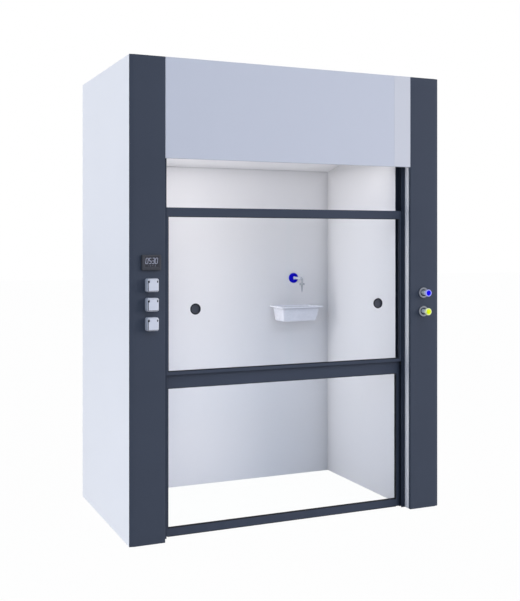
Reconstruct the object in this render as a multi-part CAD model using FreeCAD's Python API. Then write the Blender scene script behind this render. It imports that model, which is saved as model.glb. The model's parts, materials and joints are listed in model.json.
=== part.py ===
import FreeCAD, Part
import math
import os

from FreeCAD import Vector

# Walk-in fume hood. Millimetres, +Z up, +Y to the back, +X to the right of someone facing it.
# Depths are written from the front face of the posts; the origin is on the floor, under the
# middle of the whole object, so depth zero lies at FRONT.

# Overall sizes
WIDTH = 1800.0
DEPTH = 950.0
HEIGHT = 2400.0
POST_WIDTH = 184.0
FASCIA_HEIGHT = 500.0
CEILING_DROP = 400.0
FLOOR_GAP = 3.0
SEAT = 0.3

# Skins
SIDE_PANEL_THICK = 18.0
ROOF_THICK = 18.0
FASCIA_THICK = 18.0
LINER_THICK = 6.0
BACK_SKIN = 2.0
BACK_INSET = 3.0
REAR_CAVITY = 9.0
EDGE_ROUND = 1.5

# Post covers
COVER_WALL = 3.0
COVER_RETURN = 17.0
COVER_ROUND = 4.0
BEVEL_WIDTH = 25.0
BEVEL_DEPTH = 6.0
COVER_LIP = 2.0
COVER_LIP_INSET = 4.0

# Sashes
SASH_FRONT = 57.0
SASH_THICK = 18.0
SASH_GAP = 3.0
SASH_END_PLAY = 2.0
UPPER_BOTTOM = 818.0
UPPER_TOP = 1659.0
UPPER_TOP_RAIL = 45.0
UPPER_BOTTOM_RAIL = 16.5
UPPER_STILE_WIDTH = 29.0
LOWER_BOTTOM = 5.0
LOWER_TOP = 835.0
HANDLE_RAIL = 86.0
LOWER_BOTTOM_RAIL = 40.0
LOWER_STILE_WIDTH = 35.0
SASH_EDGE_ROUND = 1.5
PROFILE_WALL = 2.5
SEAL_WIDTH = 10.0
SEAL_HEIGHT = 4.0

# Sliding panes of the upper sash and fixed pane of the lower one
PANE_THICK = 5.0
PANE_INSET = 2.0
PANE_SPACING = 4.0
PANE_LAP = 40.0
PANE_SIDE_ENTRY = 6.0
PANE_TOP_ENTRY = 10.0
TRACK_SIDE_DEPTH = 8.0
TRACK_TOP_DEPTH = 12.0
TRACK_BOTTOM_DEPTH = 8.0
LOWER_PANE_THICK = 6.0
GLAZING_DEPTH = 10.0
GLAZING_ENTRY = 8.0
LEFT_PULL_INSET = 146.5
RIGHT_PULL_INSET = 132.5
PULL_Z = 1146.0
PULL_FLANGE_R = 28.5
PULL_BODY_R = 24.2
PULL_RECESS_R = 21.5
PULL_CLIP_R = 26.5
PULL_FLANGE_THICK = 1.5
PULL_CLIP_THICK = 1.2
PULL_FLOOR = 1.5

# Sash guides
GUIDE_WIDTH = 24.0
GUIDE_REAR_WIDTH = 33.0
GUIDE_WEB = 3.0
GUIDE_WALL = 3.5
GUIDE_PLAY = 0.5
STOP_HEIGHT = 20.0

# Suspension
PULLEY_R = 45.0
PULLEY_RIM = 2.5
PULLEY_WIDTH = 14.0
PULLEY_ROOF_GAP = 4.5
CABLE_R = 1.5
CABLE_INSET = 10.0
AXLE_R = 6.0
AXLE_PLAY = 0.08
SPACER_R = 9.0
AXLE_HEAD = 4.5
AXLE_NUT = 8.0
BRACKET_THICK = 5.0
BRACKET_GAP = 1.0
BRACKET_DROP = 44.0
WEIGHT_CLEAR = 2.0
WEIGHT_SPARE = 4.0
WEIGHT_GAP = 20.5
UPPER_WEIGHT_LENGTH = 600.0
LOWER_WEIGHT_LENGTH = 680.0

# Frame
TUBE = 40.0
TUBE_WALL = 2.0
FRAME_BASE = 60.0
REAR_TUBE_GAP = 5.0
TIE_WIDTH = 20.0
TIE_THICK = 4.0
TIE_COUNT = 4
TIE_LOWEST = 150.0
TIE_ROOF_GAP = 180.0
FOOT_R = 19.0
FOOT_THICK = 10.0
STEM_R = 5.0
FOOT_NUT_R = 9.0
FOOT_NUT_THICK = 8.0

# Extraction and lamp
CEILING_FRONT = 110.0
COVE_DEPTH = 285.0
COVE_DROP = 60.0
VENT_FRONT = 375.0
VENT_DEPTH = 200.0
VENT_HALF = 300.0
VENT_SLOT = 12.0
VENT_PITCH = 24.0
VENT_BORDER = 15.0
PLENUM_MARGIN = 20.0
PLENUM_REAR_MARGIN = 50.0
SHEET = 2.0
SPIGOT_R = 125.0
SPIGOT_RISE = 70.0
SPIGOT_FLANGE = 25.0
SPIGOT_FLANGE_THICK = 3.0
LAMP_FRONT = 130.0
LAMP_DEPTH = 70.0
LAMP_HALF = 420.0
LAMP_LAP = 10.0
LAMP_GLASS = 6.0
LAMP_HEIGHT = 60.0

# Monitor and sockets on the left post
CONTROL_INSET = 75.5
MONITOR_Z = 1385.0
MONITOR_WIDTH = 99.0
MONITOR_HEIGHT = 76.0
MONITOR_DEPTH = 14.0
MONITOR_ROUND = 3.0
SCREEN_WIDTH = 68.0
SCREEN_HEIGHT = 48.0
SCREEN_RISE = 4.0
SCREEN_DEPTH = 2.0
SCREEN_THICK = 1.5
SOCKET_Z = (1275.0, 1180.0, 1085.0)
SOCKET_NAMES = ("top", "middle", "bottom")
SOCKET_WIDTH = 60.0
SOCKET_HEIGHT = 65.0
SOCKET_DEPTH = 42.0
SOCKET_ROUND = 8.0
LID_BORDER = 6.0
LID_GAP = 0.5
LID_THICK = 5.0
LID_PIN_R = 1.5
LID_PIN_PLAY = 0.08
LID_PIN_SEAT = 3.5
NOTCH_WIDTH = 6.0
NOTCH_HEIGHT = 14.0
NOTCH_DEPTH = 13.0
WELL_SIZE = 38.0
WELL_FLOOR = 4.0
INSERT_THICK = 6.0
CONTACT_R = 2.5
CONTACT_SPACING = 19.0

# Valves on the right post
VALVE_INSET = 85.0
VALVE_Z = (1203.0, 1100.0)
VALVE_COLOURS = ("blue", "yellow")
ROSE_R = 30.0
ROSE_HOLE_R = 18.0
ROSE_THICK = 8.0
ROSE_ROUND = 3.0
BUSH_R = 12.0
BUSH_REACH = 39.0
BUSH_PLAY = 1.0
SPINDLE_R = 6.0
SPINDLE_PLAY = 0.08
SPINDLE_ENTRY = 20.0
KNOB_R = 20.0
KNOB_LENGTH = 12.0
KNOB_REACH = 53.0
KNOB_ROUND = 2.5
KNOB_FLUTES = 12
KNOB_FLUTE_R = 2.2
VALVE_BODY_WIDTH = 30.0
VALVE_BODY_HEIGHT = 64.0
VALVE_BODY_FRONT = 4.0
VALVE_BODY_BACK = 40.0

# Water outlet and cup sink on the rear wall
OUTLET_INSET = 252.0
OUTLET_Z = 1256.0
OUTLET_ROSE_R = 31.5
OUTLET_ROSE_THICK = 14.0
OUTLET_ROSE_ROUND = 4.0
SPOUT_R = 8.0
SPOUT_REACH = 121.0
SPOUT_DROP = 28.0
TAIL_NUT = 24.0
TAIL_NUT_GAP = 0.5
COLLAR_R = 16.0
COLLAR_HEIGHT = 12.0
BARB_TOP_R = 6.5
BARB_TIP_R = 3.5
BARB_LENGTH = 44.0
BARB_BORE_R = 2.0
BARB_RINGS = 4
BARB_ANGLE = 8.0
BARB_LEAD = 0.4
SINK_INSET = 120.0
SINK_WIDTH = 298.0
SINK_REACH = 163.0
SINK_TOP = 1084.0
SINK_HEIGHT = 94.0
SINK_RIM = 9.0
SINK_SIDE_RIM = 22.0
SINK_RIM_THICK = 7.0
SINK_WALL = 4.0
SINK_TAPER = 17.0
SINK_CORNER = 10.0
DRAIN_R = 20.0
DRAIN_WALL = 2.0
DRAIN_RISE = 38.0
DRAIN_SOCKET = 20.0
STRAINER_R = 16.0
STRAINER_THICK = 2.0
STRAINER_HOLE_R = 2.2
STRAINER_RING_R = 9.0
STRAINER_HOLES = 8

# Service pipes
PIPE_R = 4.0
PIPE_BEND = 12.0
PIPE_LANE = 6.0
PORT_RISE = 22.0
SUPPLY_BACK_GAP = 28.0
SUPPLY_INSETS = (42.0, 12.0)
SUPPLY_RISE = 25.0
COUPLING_R = 7.0
COUPLING_GAP = 1.0

# Places that follow from the sizes above
FRONT = (KNOB_REACH - DEPTH) / 2
HALF = WIDTH / 2
OPENING = HALF - POST_WIDTH
INNER_SIDE = HALF - SIDE_PANEL_THICK
LINER_BACK = OPENING + LINER_THICK
BACK_FACE = DEPTH - BACK_INSET
REAR_FACE = BACK_FACE - BACK_SKIN - REAR_CAVITY - LINER_THICK
REAR_LINER_BACK = REAR_FACE + LINER_THICK
PANEL_FRONT = BEVEL_DEPTH + COVER_LIP
UNDER_ROOF = HEIGHT - ROOF_THICK
CEILING_HEIGHT = HEIGHT - CEILING_DROP
CEILING_TOP = CEILING_HEIGHT + LINER_THICK
UPPER_Y = (SASH_FRONT, SASH_FRONT + SASH_THICK)
LOWER_Y = (UPPER_Y[1] + SASH_GAP, UPPER_Y[1] + SASH_GAP + SASH_THICK)
SASH_END = OPENING - GUIDE_WEB - SASH_END_PLAY
UPPER_STILE_IN = SASH_END - UPPER_STILE_WIDTH
LOWER_STILE_IN = SASH_END - LOWER_STILE_WIDTH
GUIDE_IN = OPENING - GUIDE_WIDTH
GUIDE_REAR_IN = OPENING - GUIDE_REAR_WIDTH
GUIDE_FRONT = UPPER_Y[0] - GUIDE_PLAY - GUIDE_WALL
GUIDE_REAR = LOWER_Y[1] + GUIDE_PLAY + GUIDE_WALL
UPPER_MID = sum(UPPER_Y) / 2
LOWER_MID = sum(LOWER_Y) / 2
FRONT_PANE_Y = UPPER_Y[0] + PANE_INSET
REAR_PANE_Y = FRONT_PANE_Y + PANE_THICK + PANE_SPACING
LEFT_PULL_X = LEFT_PULL_INSET - UPPER_STILE_IN
RIGHT_PULL_X = UPPER_STILE_IN - RIGHT_PULL_INSET
CABLE_X = GUIDE_IN + CABLE_INSET
PULLEY_X = CABLE_X + PULLEY_R
WEIGHT_X = PULLEY_X + PULLEY_R
PULLEY_Z = UNDER_ROOF - PULLEY_ROOF_GAP - PULLEY_RIM - PULLEY_R
PULLEY_CLEAR = PULLEY_Z - PULLEY_R - PULLEY_RIM - GUIDE_PLAY
GUIDE_TOP = PULLEY_CLEAR - PULLEY_RIM
BRACKET_BACK = GUIDE_REAR + BRACKET_GAP + BRACKET_THICK
WEIGHT_TOP = PULLEY_Z - PULLEY_R - PULLEY_RIM - WEIGHT_GAP
TUBE_X = (INNER_SIDE - TUBE, INNER_SIDE)
WEIGHT_WIDTH = 2 * (TUBE_X[0] - WEIGHT_CLEAR - WEIGHT_X)
FRONT_TUBE_Y = (BRACKET_BACK, BRACKET_BACK + TUBE)
REAR_TUBE_Y = (REAR_FACE - REAR_TUBE_GAP - TUBE, REAR_FACE - REAR_TUBE_GAP)
VENT_Y = (VENT_FRONT, VENT_FRONT + VENT_DEPTH)
PLENUM_Y = (VENT_Y[0] - PLENUM_MARGIN, VENT_Y[1] + PLENUM_REAR_MARGIN)
SPIGOT_Y = sum(PLENUM_Y) / 2
LAMP_Y = (LAMP_FRONT, LAMP_FRONT + LAMP_DEPTH)
CONTROL_X = OPENING + CONTROL_INSET
VALVE_X = OPENING + VALVE_INSET
LID_WIDTH = SOCKET_WIDTH - 2 * LID_BORDER
LID_HEIGHT = SOCKET_HEIGHT - 2 * LID_BORDER
HINGE_DROP = LID_HEIGHT / 2 - LID_THICK / 2
PIPE_X = LINER_BACK + PIPE_LANE
PIPE_BACK_Y = REAR_LINER_BACK + REAR_CAVITY / 2
SUPPLY_X = [TUBE_X[0] - inset for inset in SUPPLY_INSETS]
SUPPLY_DEPTH = REAR_TUBE_Y[0] - SUPPLY_BACK_GAP
OUTLET_X = OPENING - OUTLET_INSET
SPOUT_Y = REAR_FACE - SPOUT_REACH
NOZZLE_TOP = OUTLET_Z - SPOUT_DROP
SINK_X = (OPENING - SINK_INSET - SINK_WIDTH, OPENING - SINK_INSET)
SINK_Y = (REAR_FACE - SINK_REACH, REAR_FACE)
SINK_MID = sum(SINK_X) / 2
DRAIN_Z = SINK_TOP - SINK_HEIGHT + DRAIN_RISE
SINK_DEPTH = SINK_HEIGHT - SINK_RIM_THICK
SINK_BACK_SLOPE = SINK_TAPER / 2


def block(x, y, z):
    """Box between two places in x, two depths and two heights."""
    corner = Vector(x[0], FRONT + y[0], z[0])
    return Part.makeBox(x[1] - x[0], y[1] - y[0], z[1] - z[0], corner)


def rod_y(x, z, y, radius):
    """Round bar from front to back between two depths."""
    return Part.makeCylinder(radius, y[1] - y[0], Vector(x, FRONT + y[0], z), Vector(0, 1, 0))


def rod_z(x, y, z, radius):
    """Upright round bar at a depth, between two heights."""
    return Part.makeCylinder(radius, z[1] - z[0], Vector(x, FRONT + y, z[0]), Vector(0, 0, 1))


def rod_x(x, y, z, radius):
    """Round bar from side to side, at a depth and a height."""
    return Part.makeCylinder(radius, x[1] - x[0], Vector(x[0], FRONT + y, z), Vector(1, 0, 0))


def prism(points, z):
    """Upright prism on an outline of (x, depth) points."""
    corners = [Vector(x, FRONT + y, z[0]) for x, y in points]
    face = Part.Face(Part.makePolygon(corners + corners[:1]))
    return face.extrude(Vector(0, 0, z[1] - z[0]))


def mirrored(shape):
    """The same piece on the other side of the hood."""
    return shape.mirror(Vector(0, 0, 0), Vector(1, 0, 0))


def both_sides(shapes):
    """The pieces given and their mirror images."""
    return list(shapes) + [mirrored(shape) for shape in shapes]


def edges_along(shape, direction):
    """Straight edges of a shape that run along a direction."""
    found = []
    for edge in shape.Edges:
        run = edge.Vertexes[-1].Point.sub(edge.Vertexes[0].Point)
        if run.Length > 0 and run.cross(direction).Length < 1e-6 * run.Length:
            found.append(edge)
    return found


def rounded(shape, radius, direction):
    """A shape with its edges along one direction rounded."""
    return shape.makeFillet(radius, edges_along(shape, direction))


def save(name, solids):
    """Write one node, a single solid or a group of separate ones."""
    pieces = [solid.removeSplitter() for solid in solids]
    shape = pieces[0] if len(pieces) == 1 else Part.makeCompound(pieces)
    shape.exportStep("parts/" + name + ".step")


def post_cover(holes):
    """Dark folded cover of the right post, with round holes given as (x, z, radius)."""
    lip_in = INNER_SIDE - COVER_LIP_INSET
    outline = [
        (OPENING, COVER_RETURN),
        (OPENING, 0),
        (HALF - BEVEL_WIDTH, 0),
        (HALF, BEVEL_DEPTH),
        (HALF, PANEL_FRONT),
        (lip_in, PANEL_FRONT),
        (HALF - BEVEL_WIDTH - COVER_WALL / 2, COVER_WALL),
        (OPENING + COVER_WALL, COVER_WALL),
        (OPENING + COVER_WALL, COVER_RETURN),
    ]
    cover = prism(outline, (FLOOR_GAP, HEIGHT))
    nose = [edge for edge in edges_along(cover, Vector(0, 0, 1)) if
            abs(edge.Vertexes[0].X - OPENING) < SEAT and abs(edge.Vertexes[0].Y - FRONT) < SEAT]
    cover = cover.makeFillet(COVER_ROUND, nose)
    for x, z, radius in holes:
        cover = cover.cut(rod_y(x, z, (-COVER_WALL, COVER_WALL * 2), radius))
    return cover


def side_panel():
    """Outer panel of the right side wall."""
    return block((INNER_SIDE, HALF), (PANEL_FRONT, DEPTH), (FLOOR_GAP, HEIGHT))


def side_liner():
    """Right inner wall of the cabin, notched at its upper front corner for the pulleys."""
    top = UNDER_ROOF - TUBE - SEAT
    wall = block((OPENING, LINER_BACK), (COVER_RETURN, REAR_FACE), (FLOOR_GAP, top))
    notch = block((OPENING, LINER_BACK), (COVER_RETURN, BRACKET_BACK), (PULLEY_CLEAR, top))
    return wall.cut(notch)


def rear_liner():
    """Rear wall of the cabin with the holes of the water outlet and the drain."""
    half = OPENING - SEAT
    wall = block((-half, half), (REAR_FACE, REAR_LINER_BACK), (FLOOR_GAP, UNDER_ROOF - TUBE))
    through = (REAR_FACE, REAR_LINER_BACK)
    wall = wall.cut(rod_y(OUTLET_X, OUTLET_Z, through, SPOUT_R + SEAT))
    return wall.cut(rod_y(SINK_MID, DRAIN_Z, through, DRAIN_R + SEAT))


def back_panel():
    """Thin outer skin of the back, set in between the side panels, with the hole of the drain."""
    y = (BACK_FACE - BACK_SKIN, BACK_FACE)
    skin = block((-INNER_SIDE, INNER_SIDE), y, (FLOOR_GAP, UNDER_ROOF))
    return skin.cut(rod_y(SINK_MID, DRAIN_Z, y, DRAIN_R + SEAT))


def ceiling_panel():
    """Cabin ceiling, sloped down to the rear wall, with the openings of the lamp and the extraction."""
    half = OPENING - SEAT
    z = (CEILING_HEIGHT, CEILING_TOP)
    bend = REAR_FACE - COVE_DEPTH
    profile = [
        (CEILING_FRONT, CEILING_HEIGHT),
        (bend, CEILING_HEIGHT),
        (REAR_FACE, CEILING_HEIGHT - COVE_DROP),
        (REAR_FACE, CEILING_TOP - COVE_DROP),
        (bend, CEILING_TOP),
        (CEILING_FRONT, CEILING_TOP),
    ]
    corners = [Vector(-half, FRONT + depth, height) for depth, height in profile]
    face = Part.Face(Part.makePolygon(corners + corners[:1]))
    panel = face.extrude(Vector(2 * half, 0, 0))
    panel = panel.cut(block((-LAMP_HALF, LAMP_HALF), LAMP_Y, z))
    return panel.cut(block((-VENT_HALF, VENT_HALF), VENT_Y, z))


def fascia_panel():
    """Front panel above the opening, flush with the posts."""
    half = OPENING - SEAT
    panel = block((-half, half), (0, FASCIA_THICK), (HEIGHT - FASCIA_HEIGHT, HEIGHT))
    return rounded(panel, EDGE_ROUND, Vector(1, 0, 0))


def roof_panel(neighbours):
    """Roof between the side panels, cut back from the fascia and the post covers."""
    z = (UNDER_ROOF, HEIGHT)
    panel = block((-INNER_SIDE, INNER_SIDE), (COVER_WALL, DEPTH), z)
    half = OPENING + SEAT
    panel = panel.cut(block((-half, half), (0, FASCIA_THICK), z))
    for neighbour in neighbours:
        panel = panel.cut(neighbour)
    panel = panel.cut(rod_z(0, SPIGOT_Y, z, SPIGOT_R + SEAT))
    for x in SUPPLY_X:
        panel = panel.cut(rod_z(x, SUPPLY_DEPTH, z, PIPE_R + SEAT))
    return panel


def sash_guide():
    """Strips of the right double channel: the upper sash runs in its front slot, the lower in its rear."""
    height = (FLOOR_GAP, GUIDE_TOP)
    web = OPENING - GUIDE_WEB
    walls = (
        (GUIDE_IN, (GUIDE_FRONT, UPPER_Y[0] - GUIDE_PLAY)),
        (GUIDE_IN, (UPPER_Y[1] + GUIDE_PLAY, LOWER_Y[0] - GUIDE_PLAY)),
        (GUIDE_REAR_IN, (LOWER_Y[1] + GUIDE_PLAY, GUIDE_REAR)),
    )
    strips = [block((web, OPENING), (GUIDE_FRONT, GUIDE_REAR), height)]
    for inner, depths in walls:
        strips.append(block((inner, web), depths, height))
    return strips


def sash_stop():
    """Rubber block in the right front slot that the upper sash stands on."""
    x = (GUIDE_IN + GUIDE_WEB, OPENING - GUIDE_WEB)
    top = UPPER_BOTTOM - SEAT
    return block(x, UPPER_Y, (top - STOP_HEIGHT, top))


def pane_tracks():
    """The two pane slots of the upper sash, as solids to cut from its frame."""
    x = UPPER_STILE_IN + TRACK_SIDE_DEPTH
    z = (UPPER_BOTTOM + UPPER_BOTTOM_RAIL - TRACK_BOTTOM_DEPTH, UPPER_TOP - UPPER_TOP_RAIL + TRACK_TOP_DEPTH)
    tracks = []
    for depth in (FRONT_PANE_Y, REAR_PANE_Y):
        tracks.append(block((-x, x), (depth - SEAT, depth + PANE_THICK + SEAT), z))
    return tracks


def hollowed(rail, x, depths, z):
    """A sash rail with the long chamber of its extruded profile between two heights."""
    y = (depths[0] + PROFILE_WALL, depths[1] - PROFILE_WALL)
    return rail.cut(block(x, y, z))


def upper_sash():
    """Stiles and rails of the upper sash, grooved for the sliding panes."""
    stile = block((UPPER_STILE_IN, SASH_END), UPPER_Y, (UPPER_BOTTOM, UPPER_TOP))
    stile = rounded(stile, SASH_EDGE_ROUND, Vector(0, 0, 1))
    x = (-UPPER_STILE_IN, UPPER_STILE_IN)
    top = block(x, UPPER_Y, (UPPER_TOP - UPPER_TOP_RAIL, UPPER_TOP))
    bottom = block(x, UPPER_Y, (UPPER_BOTTOM, UPPER_BOTTOM + UPPER_BOTTOM_RAIL))
    stiles = both_sides([stile])
    rails = [rounded(rail, SASH_EDGE_ROUND, Vector(1, 0, 0)) for rail in (top, bottom)]
    chamber_bottom = UPPER_TOP - UPPER_TOP_RAIL + TRACK_TOP_DEPTH + PROFILE_WALL
    rails[0] = hollowed(rails[0], x, UPPER_Y, (chamber_bottom, UPPER_TOP - PROFILE_WALL))
    for track in pane_tracks():
        stiles = [piece.cut(track) for piece in stiles]
        rails = [piece.cut(track) for piece in rails]
    return stiles, rails


def sliding_pane(x, depth, pull_x):
    """Glass pane in one track, with the hole of its finger pull."""
    bottom = UPPER_BOTTOM + UPPER_BOTTOM_RAIL - TRACK_BOTTOM_DEPTH + SEAT
    top = UPPER_TOP - UPPER_TOP_RAIL + PANE_TOP_ENTRY
    y = (depth, depth + PANE_THICK)
    pane = block(x, y, (bottom, top))
    return pane.cut(rod_y(pull_x, PULL_Z, y, PULL_BODY_R + SEAT))


def finger_pull(pull_x, depth):
    """Round cup set in a pane, open to the front and clipped behind the glass."""
    front = depth - PULL_FLANGE_THICK
    glass_back = depth + PANE_THICK
    back = glass_back + PULL_CLIP_THICK
    cup = rod_y(pull_x, PULL_Z, (front, depth), PULL_FLANGE_R)
    cup = cup.fuse(rod_y(pull_x, PULL_Z, (front, back), PULL_BODY_R))
    cup = cup.fuse(rod_y(pull_x, PULL_Z, (glass_back, back), PULL_CLIP_R))
    return cup.cut(rod_y(pull_x, PULL_Z, (front, back - PULL_FLOOR), PULL_RECESS_R))


def lower_sash():
    """Stiles, handle rail, bottom rail and glass of the lower sash."""
    stile = block((LOWER_STILE_IN, SASH_END), LOWER_Y, (LOWER_BOTTOM, LOWER_TOP))
    stile = rounded(stile, SASH_EDGE_ROUND, Vector(0, 0, 1))
    x = (-LOWER_STILE_IN, LOWER_STILE_IN)
    handle = block(x, LOWER_Y, (LOWER_TOP - HANDLE_RAIL, LOWER_TOP))
    bottom = block(x, LOWER_Y, (LOWER_BOTTOM, LOWER_BOTTOM + LOWER_BOTTOM_RAIL))
    handle = rounded(handle, SASH_EDGE_ROUND, Vector(1, 0, 0))
    bottom = rounded(bottom, SASH_EDGE_ROUND, Vector(1, 0, 0))
    handle_inside = LOWER_TOP - HANDLE_RAIL + GLAZING_DEPTH + PROFILE_WALL
    bottom_inside = LOWER_BOTTOM + LOWER_BOTTOM_RAIL - GLAZING_DEPTH - PROFILE_WALL
    handle = hollowed(handle, x, LOWER_Y, (handle_inside, LOWER_TOP - PROFILE_WALL))
    bottom = hollowed(bottom, x, LOWER_Y, (LOWER_BOTTOM + PROFILE_WALL, bottom_inside))
    glass_front = LOWER_MID - LOWER_PANE_THICK / 2
    glass_y = (glass_front, glass_front + LOWER_PANE_THICK)
    groove_y = (glass_y[0] - SEAT, glass_y[1] + SEAT)
    groove_x = LOWER_STILE_IN + GLAZING_DEPTH
    groove_z = (LOWER_BOTTOM + LOWER_BOTTOM_RAIL - GLAZING_DEPTH, LOWER_TOP - HANDLE_RAIL + GLAZING_DEPTH)
    groove = block((-groove_x, groove_x), groove_y, groove_z)
    play = GLAZING_DEPTH - GLAZING_ENTRY
    pane = block((-groove_x + play, groove_x - play), glass_y, (groove_z[0] + SEAT, groove_z[1] - play))
    stiles = [piece.cut(groove) for piece in both_sides([stile])]
    return stiles, handle.cut(groove), bottom.cut(groove), pane


def bottom_seal():
    """Rubber strip under the lower sash."""
    y = (LOWER_MID - SEAL_WIDTH / 2, LOWER_MID + SEAL_WIDTH / 2)
    return block((-LOWER_STILE_IN, LOWER_STILE_IN), y, (LOWER_BOTTOM - SEAL_HEIGHT, LOWER_BOTTOM))


def pulley(depth):
    """Right pulley with a rope groove, in the plane of one sash."""
    rim = PULLEY_R + PULLEY_RIM
    root = PULLEY_R - CABLE_R - SEAT
    half = PULLEY_WIDTH / 2
    lip = CABLE_R + SEAT
    bore = AXLE_R + AXLE_PLAY
    section = [(bore, -half), (rim, -half), (rim, -half + lip), (root, -lip), (root, lip),
               (rim, half - lip), (rim, half), (bore, half)]
    points = [Vector(PULLEY_X + r, FRONT + depth + y, PULLEY_Z) for r, y in section]
    face = Part.Face(Part.makePolygon(points + points[:1]))
    return face.revolve(Vector(PULLEY_X, FRONT + depth, PULLEY_Z), Vector(0, 1, 0), 360)


def pulley_axle():
    """Right axle bolt with its head and nut, and the two spacer sleeves beside the pulleys."""
    half = PULLEY_WIDTH / 2
    head_back = UPPER_MID - half - SEAT
    bracket_front = BRACKET_BACK - BRACKET_THICK
    back = BRACKET_BACK + AXLE_NUT
    bolt = rod_y(PULLEY_X, PULLEY_Z, (head_back, back), AXLE_R)
    bolt = bolt.fuse(rod_y(PULLEY_X, PULLEY_Z, (head_back - AXLE_HEAD, head_back), SPACER_R))
    bolt = bolt.fuse(rod_y(PULLEY_X, PULLEY_Z, (BRACKET_BACK, back), SPACER_R))
    spans = [(UPPER_MID + half + SEAT, LOWER_MID - half - SEAT), (LOWER_MID + half + SEAT, bracket_front)]
    solids = [bolt]
    for span in spans:
        sleeve = rod_y(PULLEY_X, PULLEY_Z, span, SPACER_R)
        solids.append(sleeve.cut(rod_y(PULLEY_X, PULLEY_Z, span, AXLE_R + AXLE_PLAY)))
    return solids


def pulley_bracket():
    """Right plate that carries the axle bolt, bolted to the frame."""
    y = (BRACKET_BACK - BRACKET_THICK, BRACKET_BACK)
    plate = block((LINER_BACK, INNER_SIDE), y, (PULLEY_Z - BRACKET_DROP, UNDER_ROOF))
    return plate.cut(rod_y(PULLEY_X, PULLEY_Z, y, AXLE_R + AXLE_PLAY))


def sash_cable(depth, sash_top):
    """Right steel rope from a sash over its pulley to the counterweight."""
    y = FRONT + depth
    inner = CABLE_X
    outer = WEIGHT_X
    start = Vector(inner, y, sash_top)
    rise = Vector(inner, y, PULLEY_Z)
    crown = Vector(PULLEY_X, y, PULLEY_Z + PULLEY_R)
    fall = Vector(outer, y, PULLEY_Z)
    end = Vector(outer, y, WEIGHT_TOP)
    path = Part.Wire([Part.LineSegment(start, rise).toShape(), Part.Arc(rise, crown, fall).toShape(),
                      Part.LineSegment(fall, end).toShape()])
    ring = Part.Wire(Part.makeCircle(CABLE_R, start, Vector(0, 0, 1)))
    return path.makePipeShell([ring], True, False)


def counterweight(depths, length):
    """Right balance weight of one sash."""
    x = (WEIGHT_X - WEIGHT_WIDTH / 2, WEIGHT_X + WEIGHT_WIDTH / 2)
    return block(x, depths, (WEIGHT_TOP - length, WEIGHT_TOP))


def tube(x, y, z, axis):
    """Square steel tube, open at both ends along its axis (0 for x, 1 for depth, 2 for height)."""
    spans = [x, y, z]
    inner = [(span[0] + TUBE_WALL, span[1] - TUBE_WALL) for span in spans]
    inner[axis] = spans[axis]
    return block(*spans).cut(block(*inner))


def frame():
    """Uprights and beams of the steel frame."""
    rail_top = FRAME_BASE + TUBE
    upright_z = (rail_top, UNDER_ROOF)
    uprights = [tube(TUBE_X, y, upright_z, 2) for y in (FRONT_TUBE_Y, REAR_TUBE_Y)]
    lower_rail = tube(TUBE_X, (FRONT_TUBE_Y[0], REAR_TUBE_Y[1]), (FRAME_BASE, rail_top), 1)
    high = (UNDER_ROOF - TUBE, UNDER_ROOF)
    upper_rail = tube(TUBE_X, (FRONT_TUBE_Y[1], REAR_TUBE_Y[0]), high, 1)
    cross = [tube((-TUBE_X[0], TUBE_X[0]), y, high, 0) for y in (FRONT_TUBE_Y, REAR_TUBE_Y)]
    return both_sides(uprights), both_sides([lower_rail, upper_rail]) + cross


def liner_brackets():
    """Flat ties between the side liners and the uprights."""
    ties = []
    spacing = (UNDER_ROOF - TIE_ROOF_GAP - TIE_LOWEST) / (TIE_COUNT - 1)
    for depths in (FRONT_TUBE_Y, REAR_TUBE_Y):
        middle = sum(depths) / 2
        for i in range(TIE_COUNT):
            z = TIE_LOWEST + i * spacing
            y = (middle - TIE_WIDTH / 2, middle + TIE_WIDTH / 2)
            ties.append(block((LINER_BACK, TUBE_X[0]), y, (z, z + TIE_THICK)))
    return both_sides(ties)


def levelling_feet():
    """Feet with threaded stems under the bottom rails, each with its lock nut."""
    x = sum(TUBE_X) / 2
    solids = []
    for depths in (FRONT_TUBE_Y, REAR_TUBE_Y):
        y = sum(depths) / 2
        foot = rod_z(x, y, (0, FOOT_THICK), FOOT_R).fuse(rod_z(x, y, (0, FRAME_BASE), STEM_R))
        nut_z = (FRAME_BASE - FOOT_NUT_THICK, FRAME_BASE)
        nut = rod_z(x, y, nut_z, FOOT_NUT_R).cut(rod_z(x, y, nut_z, STEM_R + AXLE_PLAY))
        solids += [foot, nut]
    return both_sides(solids)


def exhaust_grille():
    """Slotted plate in the extraction opening of the ceiling."""
    half = VENT_HALF - SEAT
    z = (CEILING_HEIGHT, CEILING_TOP)
    plate = block((-half, half), (VENT_Y[0] + SEAT, VENT_Y[1] - SEAT), z)
    count = int((2 * half - 2 * VENT_BORDER) / VENT_PITCH)
    first = -(count - 1) * VENT_PITCH / 2
    slot_y = (VENT_Y[0] + VENT_BORDER, VENT_Y[1] - VENT_BORDER)
    for i in range(count):
        x = first + i * VENT_PITCH
        plate = plate.cut(block((x - VENT_SLOT / 2, x + VENT_SLOT / 2), slot_y, z))
    return plate


def exhaust_plenum():
    """Four wall sheets over the grille and a top sheet with the spigot's hole."""
    half = VENT_HALF + PLENUM_MARGIN
    top = UNDER_ROOF - SHEET
    wall_z = (CEILING_TOP, top - SHEET)
    inner_y = (PLENUM_Y[0] + SHEET, PLENUM_Y[1] - SHEET)
    sides = both_sides([block((half - SHEET, half), inner_y, wall_z)])
    front = block((-half, half), (PLENUM_Y[0], inner_y[0]), wall_z)
    back = block((-half, half), (inner_y[1], PLENUM_Y[1]), wall_z)
    lid = block((-half, half), PLENUM_Y, (top - SHEET, top))
    return sides + [front, back, lid.cut(rod_z(0, SPIGOT_Y, (top - SHEET, top), SPIGOT_R - SHEET))]


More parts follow.
